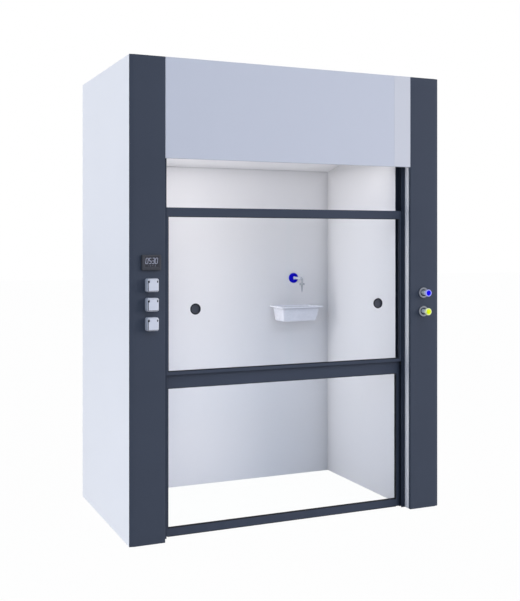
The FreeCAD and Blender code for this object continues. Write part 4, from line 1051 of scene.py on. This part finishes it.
class HOOD_OT_suspension(HoodOperator):
    """Dress the pulleys and weights, and run the ropes that balance the sashes"""
    bl_idname = "hood.suspension"
    bl_label = "Sash suspension"

    def execute(self, context):
        dress([node for node in SLOT_OF if "pulley" in node], sizes().edge)
        dress(["upper_counterweights", "lower_counterweights"], 2 * sizes().edge)
        for level in ("upper", "lower"):
            self.ropes(level)
        return {"FINISHED"}

    def ropes(self, level):
        """Ropes of one sash: runs that lengthen with the sash and the weights, and arcs on the wheels."""
        node = level + "_sash_cables"
        sash = level + "_sash"
        weights = level + "_weights"
        low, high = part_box(node)
        radius = (high.y - low.y) / 2
        depth = (low.y + high.y) / 2
        wheel_low, wheel_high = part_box(level + "_right_pulley")
        axle = Vector(((wheel_low.x + wheel_high.x) / 2, depth, (wheel_low.z + wheel_high.z) / 2))
        reach = high.z - radius - axle.z
        weight_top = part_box(level + "_counterweights")[1].z
        sash_runs = bmesh.new()
        weight_runs = bmesh.new()
        arcs = bmesh.new()
        sash_sleeves = bmesh.new()
        weight_sleeves = bmesh.new()
        for side in (-1, 1):
            inner = side * (axle.x - reach)
            outer = side * (axle.x + reach)
            self.strand(sash_runs, inner, depth, low.z, axle.z, radius)
            self.strand(weight_runs, outer, depth, weight_top, axle.z, radius)
            self.sleeve(sash_sleeves, inner, depth, low.z, radius)
            self.sleeve(weight_sleeves, outer, depth, weight_top, radius)
            centre = Vector((side * axle.x, depth, axle.z))
            across = Vector((side * reach, 0, 0))
            up = Vector((0, 0, reach))
            bow = quarter_turn(centre, -across, up) + quarter_turn(centre, up, across)[1:]
            swept_tube(arcs, bow, radius, Vector((0, 1, 0)), 12)
        make_piece(level + "_rope_arcs", arcs, "cable_steel", "cabinet", (node,))
        make_piece(level + "_sash_sleeves", sash_sleeves, "axle_steel", sash)
        make_piece(level + "_weight_sleeves", weight_sleeves, "axle_steel", weights)
        runs = make_piece(level + "_sash_ropes", sash_runs, "cable_steel", None)
        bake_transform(runs)
        runs = make_piece(level + "_weight_ropes", weight_runs, "cable_steel", None)
        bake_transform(runs)

    def strand(self, maker, x, y, bottom, top, radius):
        """Straight run of rope."""
        swept_tube(maker, [Vector((x, y, bottom)), Vector((x, y, top))], radius, Vector((0, 1, 0)), 12)

    def sleeve(self, maker, x, y, bottom, radius):
        """Crimped sleeve round the end of a rope."""
        wide = radius * 2.1
        slim = radius * 1.8
        profile = [(wide, 0), (wide, 0.002), (slim, 0.003), (wide, 0.004), (wide, 0.008), (slim, 0.009),
                   (wide, 0.010), (wide, 0.012), (radius, 0.014), (radius, 0)]
        loft(maker, turned(standing(x, y, bottom), profile, 20), loop=True)


class HOOD_OT_extraction(HoodOperator):
    """Dress the grille, plenum and duct spigot, and fit the spigot's lip seal"""
    bl_idname = "hood.extraction"
    bl_label = "Extraction"

    def execute(self, context):
        dress(["exhaust_grille"], sizes().edge / 2, "liner_white")
        dress(["exhaust_plenum", "exhaust_spigot"], sizes().edge / 2)
        low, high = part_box("exhaust_spigot")
        flange = 0.025
        radius = (high.x - low.x) / 2 - flange
        crest = radius + 0.0018
        hollow = radius + 0.0004
        place = standing((low.x + high.x) / 2, (low.y + high.y) / 2, high.z)
        profile = ((radius, -0.026), (crest, -0.024), (hollow, -0.021), (crest, -0.018), (hollow, -0.015),
                   (radius, -0.014))
        seal = lofted(turned(place, profile, 96), loop=True)
        make_piece("spigot_seal", seal, "rubber_black", "cabinet")
        return {"FINISHED"}


class HOOD_OT_lamp(HoodOperator):
    """Dress the cabin lamp and its milky cover"""
    bl_idname = "hood.lamp"
    bl_label = "Cabin lamp"

    def execute(self, context):
        dress(["lamp_housing"], sizes().edge / 2)
        dress(["lamp_window"], sizes().edge / 2, "lamp_window")
        return {"FINISHED"}


SEGMENTS = {
    "0": "abcdef", "1": "bc", "2": "abged", "3": "abgcd", "4": "fgbc",
    "5": "afgcd", "6": "afgedc", "7": "abc", "8": "abcdefg", "9": "abcdfg",
}


class HOOD_OT_monitor(HoodOperator):
    """Build the air-flow monitor with its window, keys and lit digits"""
    bl_idname = "hood.monitor"
    bl_label = "Air-flow monitor"

    reading: StringProperty(name="Reading", description="Large digits of the display", default="0530")
    second: StringProperty(name="Second row", description="Small digits of the display", default="1250")

    def execute(self, context):
        self.housing()
        self.keys()
        screen = self.screen()
        self.digits(screen)
        return {"FINISHED"}

    def housing(self):
        """Dark case with a rounded front and a sunk window."""
        low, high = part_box("monitor_housing")
        window_low, window_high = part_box("monitor_screen")
        depth = high.y - low.y
        sill = high.y - window_low.y - 0.001
        place = front_middle(low, high, high.y)
        rise = (window_low.z + window_high.z - low.z - high.z) / 2
        front = ((0, 0), (0, depth - 0.0036), (0.0008, depth - 0.0016), (0.0025, depth - 0.0004),
                 (0.0045, depth))
        window = ((-0.0022, depth), (-0.0006, depth - 0.0012), (-0.0004, sill))
        rings = box_rings(place, high.x - low.x, high.z - low.z, 0.006, front)
        rings += box_rings(
            place, window_high.x - window_low.x, window_high.z - window_low.z, 0.002, window, rise)
        make_piece(
            "monitor_case", lofted(rings), "monitor_plastic", "cabinet",
            ("monitor_housing",))

    def keys(self):
        """Three flat keys under the window."""
        low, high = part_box("monitor_housing")
        middle = (low.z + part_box("monitor_screen")[0].z) / 2
        pitch = 0.022
        wide = 0.014
        tall = 0.007
        rounding = ((0, -0.0008), (0, 0.0005), (0.0003, 0.0008), (0.001, 0.001))
        maker = bmesh.new()
        for x in (-pitch, 0, pitch):
            place = facing_front((low.x + high.x) / 2 + x, low.y, middle)
            loft(maker, box_rings(place, wide, tall, 0.002, rounding))
        make_piece("monitor_keys", maker, "monitor_plastic", "cabinet")

    def screen(self):
        """Dark window plate; returns the place of its front face."""
        low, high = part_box("monitor_screen")
        depth = high.y - low.y
        edge = 0.0004
        rings = box_rings(
            front_middle(low, high, high.y), high.x - low.x, high.z - low.z, 0.0016,
            ((0, 0), (0, depth - edge), (edge, depth)))
        make_piece(
            "monitor_window", lofted(rings), "screen_panel", "cabinet", ("monitor_screen",))
        return front_middle(low, high, low.y)

    def digits(self, place):
        """Lit seven-segment digits in two rows on the window."""
        size = sizes()
        maker = bmesh.new()
        # Text, rise above the window's middle, height and pitch
        rows = (
            (self.reading, 0.0045, size.digit_height, 0.0162),
            (self.second, -0.0185, size.small_digit_height, 0.0125))
        for text, rise, height, pitch in rows:
            start = -(len(text) - 1) * pitch / 2
            for i, digit in enumerate(text):
                self.digit(maker, place @ Matrix.Translation((start + i * pitch, rise, 0)), digit, height)
        make_piece("monitor_digits", maker, "digit_glow", "cabinet")

    def digit(self, maker, place, digit, height):
        """One leaning seven-segment digit about its place."""
        stroke = height * 0.085
        half_u = height * 0.18
        half_v = height * 0.435
        lean = math.tan(math.radians(8))
        back = -0.0001
        front = 0.00025
        middles = {
            "a": (0, half_v, True), "g": (0, 0, True), "d": (0, -half_v, True),
            "f": (-half_u, half_v / 2, False), "b": (half_u, half_v / 2, False),
            "e": (-half_u, -half_v / 2, False), "c": (half_u, -half_v / 2, False),
        }
        for name in SEGMENTS[digit]:
            u, v, lying = middles[name]
            reach = (half_u if lying else half_v / 2) - stroke * 0.1
            point = reach - stroke / 2
            bar = ((-reach, 0), (-point, -stroke / 2), (point, -stroke / 2), (reach, 0), (point, stroke / 2),
                   (-point, stroke / 2))
            outline = [(u + a, v + b) if lying else (u + b, v - a) for a, b in bar]
            leaning = [(a + b * lean, b) for a, b in outline]
            loft(maker, [ring_of(place, leaning, along) for along in (back, front)])


class HOOD_OT_sockets(HoodOperator):
    """Build the three sockets round their hinged lids"""
    bl_idname = "hood.sockets"
    bl_label = "Sockets"

    def execute(self, context):
        lids = ["socket_lid_top", "socket_lid_middle", "socket_lid_bottom"]
        dress(lids, sizes().moulded_edge)
        dress(["socket_inserts"], sizes().edge)
        self.housings(lids)
        return {"FINISHED"}

    def housings(self, lids):
        """Rounded housings under the lids, with dark frames round the lids that paint the lids' shadow, and
        dark hinge pockets beside the lids' necks that paint their shade.
        """
        low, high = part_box("socket_housings")
        boxes = [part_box(lid) for lid in lids]
        middles = [(lid_low.z + lid_high.z) / 2 for lid_low, lid_high in boxes]
        x = (low.x + high.x) / 2
        width = high.x - low.x
        height = high.z - low.z - (max(middles) - min(middles))
        clearance = 0.0001
        play = 0.0006
        face = high.y - boxes[0][1].y - clearance
        insert_low, insert_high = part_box("socket_inserts")
        well = insert_high.x - insert_low.x + play
        drop = insert_low.z + (insert_high.x - insert_low.x) / 2 - min(middles)
        floor = high.y - insert_high.y
        rounding = ((0, 0), (0, face - 0.006), (0.0007, face - 0.0034), (0.002, face - 0.0013),
                    (0.0042, face))
        pin_reach = 0.0037
        lid_half = (boxes[0][1].x - boxes[0][0].x) / 2 - pin_reach
        bodies = bmesh.new()
        pockets = bmesh.new()
        shadow_frames = bmesh.new()
        lip = 0.0024
        lip_seat = 0.0002
        lip_height = 0.0011
        for z, (lid_low, lid_high) in zip(middles, boxes):
            place = facing_front(x, high.y, z)
            rings = box_rings(place, width, height, 0.009, rounding)
            rings += box_rings(place, well, well, 0.002, ((0, face), (0, floor)), drop)
            loft(bodies, rings)
            self.pockets(pockets, place, lid_half, lid_high.z - z, face)
            # Dark frame round the lid, which paints the lid's shadow on the housing
            corner = place @ Matrix.Translation((-lip / 2, -lip / 2, face - lip_seat))
            rectangle_frame(
                shadow_frames, corner, 2 * lid_half + lip, lid_high.z - lid_low.z + lip, 2 * lip, lip_height)
        make_piece("socket_bodies", bodies, "socket_white", "cabinet", ("socket_housings",))
        make_piece("hinge_pockets", pockets, "rubber_black", "cabinet")
        make_piece("lid_seals", shadow_frames, "rubber_black", "cabinet")

    def pockets(self, maker, place, lid_half, lid_top, face):
        """Dark plates that paint the shade in the two pockets beside a lid's neck."""
        wide = 0.0075
        tall = 0.0134
        overlap = 0.0022
        drop = 0.0003 + tall / 2
        rounding = ((0, -0.001), (0, 0.0005), (0.0004, 0.0008), (0.0012, 0.0008))
        for side in (-1, 1):
            middle = Matrix.Translation((side * (lid_half - overlap), lid_top - drop, face))
            loft(maker, box_rings(place @ middle, wide, tall, 0.0015, rounding))


class HOOD_OT_valves(HoodOperator):
    """Build the valve roses and the two service knobs"""
    bl_idname = "hood.valves"
    bl_label = "Service valves"

    def execute(self, context):
        dress(["valve_bodies"], sizes().edge)
        self.roses()
        self.knob("blue")
        self.knob("yellow")
        return {"FINISHED"}

    def roses(self):
        """Rounded plated rings round both valve stems."""
        low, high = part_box("valve_roses")
        radius = (high.x - low.x) / 2
        thick = high.y - low.y
        bore = radius - 0.012
        section = ((radius, 0), (radius, 0.35 * thick), (radius - 0.001, 0.72 * thick),
                   (radius - 0.003, 0.94 * thick), (radius - 0.005, thick), (bore + 0.003, 0.94 * thick),
                   (bore + 0.001, 0.72 * thick), (bore, 0.35 * thick), (bore, 0))
        maker = bmesh.new()
        for knob in ("blue_valve_knob", "yellow_valve_knob"):
            knob_low, knob_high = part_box(knob)
            place = facing_front((low.x + high.x) / 2, high.y, (knob_low.z + knob_high.z) / 2)
            loft(maker, turned(place, section, 56), loop=True)
        make_piece("valve_rings", maker, "rose_metal", "cabinet", ("valve_roses",))

    def knob(self, hue):
        """Short fluted head with a pale rim, whose colour also paints the rim's highlight, and its spindle,
        and a domed core in the medium's colour.
        """
        node = hue + "_valve_knob"
        plastic = hue + "_plastic"
        low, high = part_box(node)
        radius = (high.x - low.x) / 2
        head = sizes().knob_head
        spindle = 0.3 * radius
        place = front_middle(low, high, low.y + head)
        seat = 0.72 * radius
        # Radius, height along and share of the flutes' depth
        grip = (
            (spindle, low.y + head - high.y, 0), (spindle, 0, 0), (0.7 * radius, 0, 0),
            (0.93 * radius, 0.0008, 0), (0.985 * radius, 0.002, 0.5), (radius, 0.0032, 1),
            (radius, head - 0.0042, 1), (0.97 * radius, head - 0.002, 0.6), (0.92 * radius, head - 0.0008, 0),
            (0.84 * radius, head - 0.0004, 0), (0.76 * radius, head - 0.0006, 0), (seat, head - 0.002, 0),
            (0.2 * radius, head - 0.002, 0),
        )
        rings = [ring_of(place, self.fluted(size, depth), along) for size, along, depth in grip]
        make_piece(hue + "_knob_grip", lofted(rings), hue + "_rim", BODY_OF[node], (node,))
        dome = ((seat, head - 0.0025), (seat, head - 0.0012), (0.94 * seat, head - 0.0005),
                (0.7 * seat, head - 0.0001), (0.3 * seat, head), (0.05 * seat, head))
        make_piece(hue + "_knob_core", lofted(turned(place, dome, 48)), plastic, BODY_OF[node])

    def fluted(self, radius, depth):
        """Round outline with flutes of a share of their full depth."""
        steps = 96
        flutes = 12
        outline = []
        for i in range(steps):
            turn = 2 * math.pi * i / steps
            hollow = 0.07 * depth * (0.5 + 0.5 * math.cos(flutes * turn)) ** 2
            outline.append((radius * (1 - hollow) * math.cos(turn), radius * (1 - hollow) * math.sin(turn)))
        return outline


class HOOD_OT_outlet(HoodOperator):
    """Build the water outlet on the rear wall"""
    bl_idname = "hood.outlet"
    bl_label = "Water outlet"

    def execute(self, context):
        self.rose()
        self.spout()
        self.nozzle()
        return {"FINISHED"}

    def rose(self):
        """Blue disc with a rounded face."""
        low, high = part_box("outlet_rose")
        radius = (high.x - low.x) / 2
        thick = high.y - low.y
        profile = ((radius, 0), (radius, 0.45 * thick), (radius - 0.001, 0.7 * thick),
                   (radius - 0.0035, 0.9 * thick), (radius - 0.007, 0.985 * thick), (0.012, thick),
                   (0.004, thick))
        disc = lofted(turned(front_middle(low, high, high.y), profile, 64))
        make_piece("outlet_disc", disc, "disc_plastic", "cabinet", ("outlet_rose",))

    def spout(self):
        """Enamelled pipe from the disc, and a tight elbow with the rod that carries the nozzle."""
        rose_low, rose_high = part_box("outlet_rose")
        nozzle_low, nozzle_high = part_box("outlet_nozzle")
        radius = (nozzle_high.x - nozzle_low.x) / 4
        x = (nozzle_low.x + nozzle_high.x) / 2
        z = (rose_low.z + rose_high.z) / 2
        end = (nozzle_low.y + nozzle_high.y) / 2
        slim = 0.82 * radius
        bend = 1.15 * radius
        mouth = rose_low.y - end - bend
        core = 0.5 * radius
        collar = 1.2 * radius
        profile = ((core, -0.001), (collar, -0.001), (collar, 0.002), (1.1 * radius, 0.003),
                   (radius, 0.0035), (radius, mouth - 0.004), (0.95 * radius, mouth - 0.002),
                   (core, mouth - 0.002))
        pipe = lofted(turned(facing_front(x, rose_low.y, z), profile))
        make_piece("outlet_pipe", pipe, "spout_enamel", "cabinet", ("outlet_spout",))
        bow = quarter_turn(Vector((x, end + bend, z - bend)), Vector((0, 0, bend)), Vector((0, -bend, 0)))
        start = Vector((x, end + bend + 0.003, z))
        maker = bmesh.new()
        swept_tube(maker, [start] + bow + [Vector((x, end, nozzle_high.z - 0.002))], slim, Vector((1, 0, 0)))
        make_piece("outlet_elbow", maker, "nozzle_metal", "cabinet")

    def nozzle(self):
        """Hose nozzle: a hexagon collar over a long barb that tapers to its tip."""
        low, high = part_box("outlet_nozzle")
        tall = high.z - low.z
        wide = (high.x - low.x) / 2
        place = standing((low.x + high.x) / 2, (low.y + high.y) / 2, low.z)
        # Shares of the nozzle's half width and height: the tip, the barbs and the neck
        profile = [(0.08, 0), (0.13, 0.015)]
        for i in range(4):
            foot = 0.05 + 0.17 * i
            slim = 0.14 + 0.06 * i
            profile += [(slim, foot), (slim + 0.08, foot + 0.135), (slim + 0.04, foot + 0.145)]
        profile += [(0.38, 0.74), (0.4, 0.785)]
        steps = 48
        rings = turned(place, [(share * wide, along * tall) for share, along in profile], steps)
        for share, along in ((0.93, 0.79), (1.0, 0.81), (1.0, 0.95), (0.93, 0.97)):
            flats = 2 * wide * share * math.cos(math.pi / 6)
            rings.append(ring_of(place, hexagon(flats, steps), along * tall))
        rings += turned(place, ((0.55 * wide, 0.975 * tall), (0.5 * wide, tall)), steps)
        make_piece("hose_nozzle", lofted(rings), "nozzle_metal", "cabinet", ("outlet_nozzle",))


# How far the sink's bowl stays inside its rim on the left, on the right, in front and at the back, each
# with how much further its foot draws in
SINK_SIDES = ((0.0145, 0.013), (0.022, 0.017), (0.009, 0.017), (0.009, 0.0085))


class HOOD_OT_sink(HoodOperator):
    """Build the cup sink's bowl with its rim, and dress its strainer and its drain"""
    bl_idname = "hood.sink"
    bl_label = "Cup sink"

    def execute(self, context):
        dress(["sink_strainer", "drain_socket"], sizes().edge / 2)
        low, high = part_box("cup_sink")
        top = high.z
        rim = top - sizes().sink_rim
        wall = sizes().sink_wall
        foot = low.z
        # Height, share of the bowl's height for its taper, and inset
        outer = ((foot, 0.0, 0.008), (foot + 0.0012, 0.0, 0.0035), (foot + 0.004, 0.04, 0.001),
                 (foot + 0.008, 0.09, 0.0), (rim, 1.0, 0.0))
        inner = ((top, 1.05, wall - 0.002), (top - 0.002, 1.04, wall), (foot + 0.012, 0.12, wall),
                 (foot + 0.006, 0.06, wall + 0.004), (foot + wall, 0.0, wall + 0.012))
        lip = ((rim, 0.001), (rim + 0.001, 0.0), (top - 0.003, 0.0), (top - 0.001, 0.0008), (top, 0.003))
        corner = 0.01
        rings = [self.bowl(*step) for step in outer]
        for height, inset in lip:
            rings.append(self.ring(
                height, low.x + inset, high.x - inset, low.y + inset, high.y, corner - inset))
        rings += [self.bowl(*step) for step in inner]
        make_piece("sink_bowl", lofted(rings), "sink_white", "cabinet", ("cup_sink",))
        return {"FINISHED"}

    def bowl(self, height, share, inset):
        """Ring of the tapering bowl at a height, set in by so much, but less at the wall."""
        low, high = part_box("cup_sink")
        left, right, front, back = (overhang + taper * (1 - share) for overhang, taper in SINK_SIDES)
        thin = min(inset, 0.0025)
        corner = 0.012
        return self.ring(
            height, low.x + left + inset, high.x - right - inset, low.y + front + inset, high.y - back - thin,
            corner)

    def ring(self, height, left, right, front, back, radius):
        """Rounded outline between four sides at a height."""
        outline = rounded_box_outline(right - left, back - front, radius)
        middle = Vector(((left + right) / 2, (front + back) / 2, height))
        return [middle + Vector((u, v, 0)) for u, v in outline]


class HOOD_OT_pipes(HoodOperator):
    """Dress the supply pipes"""
    bl_idname = "hood.pipes"
    bl_label = "Supply pipes"

    def execute(self, context):
        dress(["service_pipes"])
        return {"FINISHED"}


# Broad lights: their property, their tint, where they shine to and how many degrees they span
SUNS = (
    ("back", "warm", (1.0, -0.9, -0.4), 30),
    ("left", "cool", (1.0, 0.8, -0.3), 36),
    ("fill", "warm", (-1.0, 1.0, -0.25), 36),
    ("high", "cool", (-0.2, 1.0, -0.9), 40),
    ("right", "warm", (-1.0, 0.35, -0.25), 36),
)

# Lights behind the fascia: name, share of their power, width, place across and depth behind the guides
GAP_LIGHTS = (
    ("gap_light_left", 0.48, 0.3, -0.53, 0.2),
    ("gap_light_right", 0.27, 0.4, 0.38, 0.05),
)


class HOOD_OT_stage(HoodOperator):
    """Set up the floor, the soft light and the camera"""
    bl_idname = "hood.stage"
    bl_label = "Stage"

    def execute(self, context):
        stage = context.scene.hood_stage
        context.scene.view_settings.view_transform = "Standard"
        self.floor()
        self.surroundings(stage)
        self.lights(stage)
        self.camera(context, stage)
        return {"FINISHED"}

    def seen_rays(self, tree):
        """One for rays that show the surroundings: camera, reflection and glass rays."""
        path = add_node(tree, "ShaderNodeLightPath").outputs
        mirrored = maths(tree, "MAXIMUM", path["Is Glossy Ray"], path["Is Transmission Ray"])
        return maths(tree, "MAXIMUM", path["Is Camera Ray"], mirrored)

    def floor(self):
        """Wide pale floor that keeps a faint shadow and runs out to white."""
        half = 30.0
        steps = 4
        whiteness = 0.98
        maker = bmesh.new()
        bmesh.ops.create_grid(maker, x_segments=steps, y_segments=steps, size=half)
        mesh = bpy.data.meshes.new("studio_floor")
        maker.to_mesh(mesh)
        maker.free()
        material, tree, shader, tone = new_material(
            "studio_floor_finish", FLOOR_GREY, amount=0.01, scale=0.5, roughness=0.8)
        set_shader(
            tree, shader, Base_Color=tone["Colour"], Roughness=tone["Roughness"], Specular_IOR_Level=0.1)
        white = add_node(tree, "ShaderNodeEmission", {"Color": WHITE, "Strength": 1.0})
        show_either(tree, maths(tree, "MULTIPLY", self.seen_rays(tree), whiteness), shader, white)
        mesh.materials.append(material)
        floor = bpy.data.objects.new("studio_floor", mesh)
        bpy.context.scene.collection.objects.link(floor)

    def surroundings(self, stage):
        """World: soft light all round, seen as white."""
        world = bpy.data.worlds.new("studio")
        bpy.context.scene.world = world
        world.use_nodes = True
        tree = world.node_tree
        tree.nodes.clear()
        kind = "ShaderNodeBackground"
        soft = add_node(tree, kind, {"Color": opaque(stage.cool), "Strength": stage.ambient})
        white = add_node(tree, kind, {"Color": WHITE, "Strength": 1.0})
        seen = self.seen_rays(tree)
        both = add_node(tree, "ShaderNodeMixShader", {0: seen, 1: soft.outputs[0], 2: white.outputs[0]})
        add_node(tree, "ShaderNodeOutputWorld", {"Surface": both.outputs[0]})

    def lights(self, stage):
        """Broad soft lights round the hood, one near its right front, and small ones in the cabin."""
        for name, hue, heading, breadth in SUNS:
            self.sun(name + "_light", getattr(stage, name), getattr(stage, hue), heading, breadth)
        low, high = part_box("lamp_window")
        self.panel_light(
            "cabin_light", stage.cabin, (high.x - low.x, high.y - low.y),
            ((low.x + high.x) / 2, (low.y + high.y) / 2, low.z - 0.01), (0, 0, -1))
        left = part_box("sash_guides")[0].x
        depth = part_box("sash_guides")[1].y
        tall = low.z - 0.1
        wide = 0.12
        beside_wall = (left + 0.02, depth + 0.4, tall / 2 + 0.05)
        self.panel_light("side_light", stage.side, (wide, tall), beside_wall, (1.0, 0, 0), 120)
        right_front = (3.0, -4.0, 1.8)
        to_hood = (-3.0, 3.55, -0.6)
        self.panel_light("near_light", stage.near, (1.6, 1.6), right_front, to_hood, tint=stage.warm)
        tall = 0.1
        height = low.z - 0.08
        to_rear = (0, 1.0, -0.05)
        for name, share, wide, across, back in GAP_LIGHTS:
            place = (across, depth + back, height)
            self.panel_light(name, stage.gap * share, (wide, tall), place, to_rear)

    def panel_light(self, name, power, size, place, heading, breadth=180, tint=(1, 1, 1)):
        """Flat soft light that isn't seen itself, shining over so many degrees."""
        lamp = bpy.data.lights.new(name, "AREA")
        lamp.shape = "RECTANGLE"
        lamp.size, lamp.size_y = size
        lamp.energy = power
        lamp.color = tint
        lamp.spread = math.radians(breadth)
        self.hang(name, lamp, place, heading)

    def hang(self, name, lamp, place, heading):
        """Places a lamp along a heading and hides it from reflections and from view."""
        light = bpy.data.objects.new(name, lamp)
        light.location = place
        light.rotation_euler = Vector(heading).to_track_quat("-Z", "Y").to_euler()
        light.visible_camera = False
        light.visible_glossy = False
        light.visible_transmission = False
        bpy.context.scene.collection.objects.link(light)

    def sun(self, name, strength, tint, heading, breadth):
        """Soft light along a heading, as broad as so many degrees."""
        lamp = bpy.data.lights.new(name, "SUN")
        lamp.energy = strength
        lamp.color = tint
        lamp.angle = math.radians(breadth)
        above = (0, 0, 4)
        self.hang(name, lamp, above, heading)

    def camera(self, context, stage):
        """Level camera at eye height, left of the front."""
        lens = bpy.data.cameras.new("camera")
        lens.lens = stage.lens
        lens.sensor_width = SENSOR_WIDTH
        lens.shift_x = stage.shift_x
        lens.shift_y = stage.shift_y
        eye = bpy.data.objects.new("camera", lens)
        eye.location = stage.place
        eye.rotation_euler = (math.pi / 2, 0, stage.turn)
        context.scene.collection.objects.link(eye)
        context.scene.camera = eye


OPERATORS = (
    HOOD_OT_panels,
    HOOD_OT_posts,
    HOOD_OT_cabin,
    HOOD_OT_structure,
    HOOD_OT_sashes,
    HOOD_OT_finger_pulls,
    HOOD_OT_suspension,
    HOOD_OT_extraction,
    HOOD_OT_lamp,
    HOOD_OT_monitor,
    HOOD_OT_sockets,
    HOOD_OT_valves,
    HOOD_OT_outlet,
    HOOD_OT_sink,
    HOOD_OT_pipes,
    HOOD_OT_stage,
)


class HOOD_PT_sidebar(Panel):
    """Lists the hood's properties and operators in the sidebar"""
    bl_idname = "HOOD_PT_sidebar"
    bl_label = "Fume hood"
    bl_space_type = "VIEW_3D"
    bl_region_type = "UI"
    bl_category = "Fume hood"

    def draw(self, context):
        scene = context.scene
        for group in (scene.hood_colours, scene.hood_sizes, scene.hood_stage):
            box = self.layout.box()
            for name in group.bl_rna.properties.keys():
                if name not in ("rna_type", "name"):
                    box.prop(group, name)
        for operator in OPERATORS:
            self.layout.operator(operator.bl_idname)


CLASSES = (HoodColours, HoodSizes, HoodStage) + OPERATORS + (HOOD_PT_sidebar,)


def register():
    for each in CLASSES:
        bpy.utils.register_class(each)
    bpy.types.Scene.hood_colours = PointerProperty(type=HoodColours)
    bpy.types.Scene.hood_sizes = PointerProperty(type=HoodSizes)
    bpy.types.Scene.hood_stage = PointerProperty(type=HoodStage)


def unregister():
    del bpy.types.Scene.hood_stage
    del bpy.types.Scene.hood_sizes
    del bpy.types.Scene.hood_colours
    for each in reversed(CLASSES):
        bpy.utils.unregister_class(each)


def main():
    register()
    for operator in OPERATORS:
        group, name = operator.bl_idname.split(".")
        getattr(getattr(bpy.ops, group), name)()


if __name__ == "__main__":
    main()
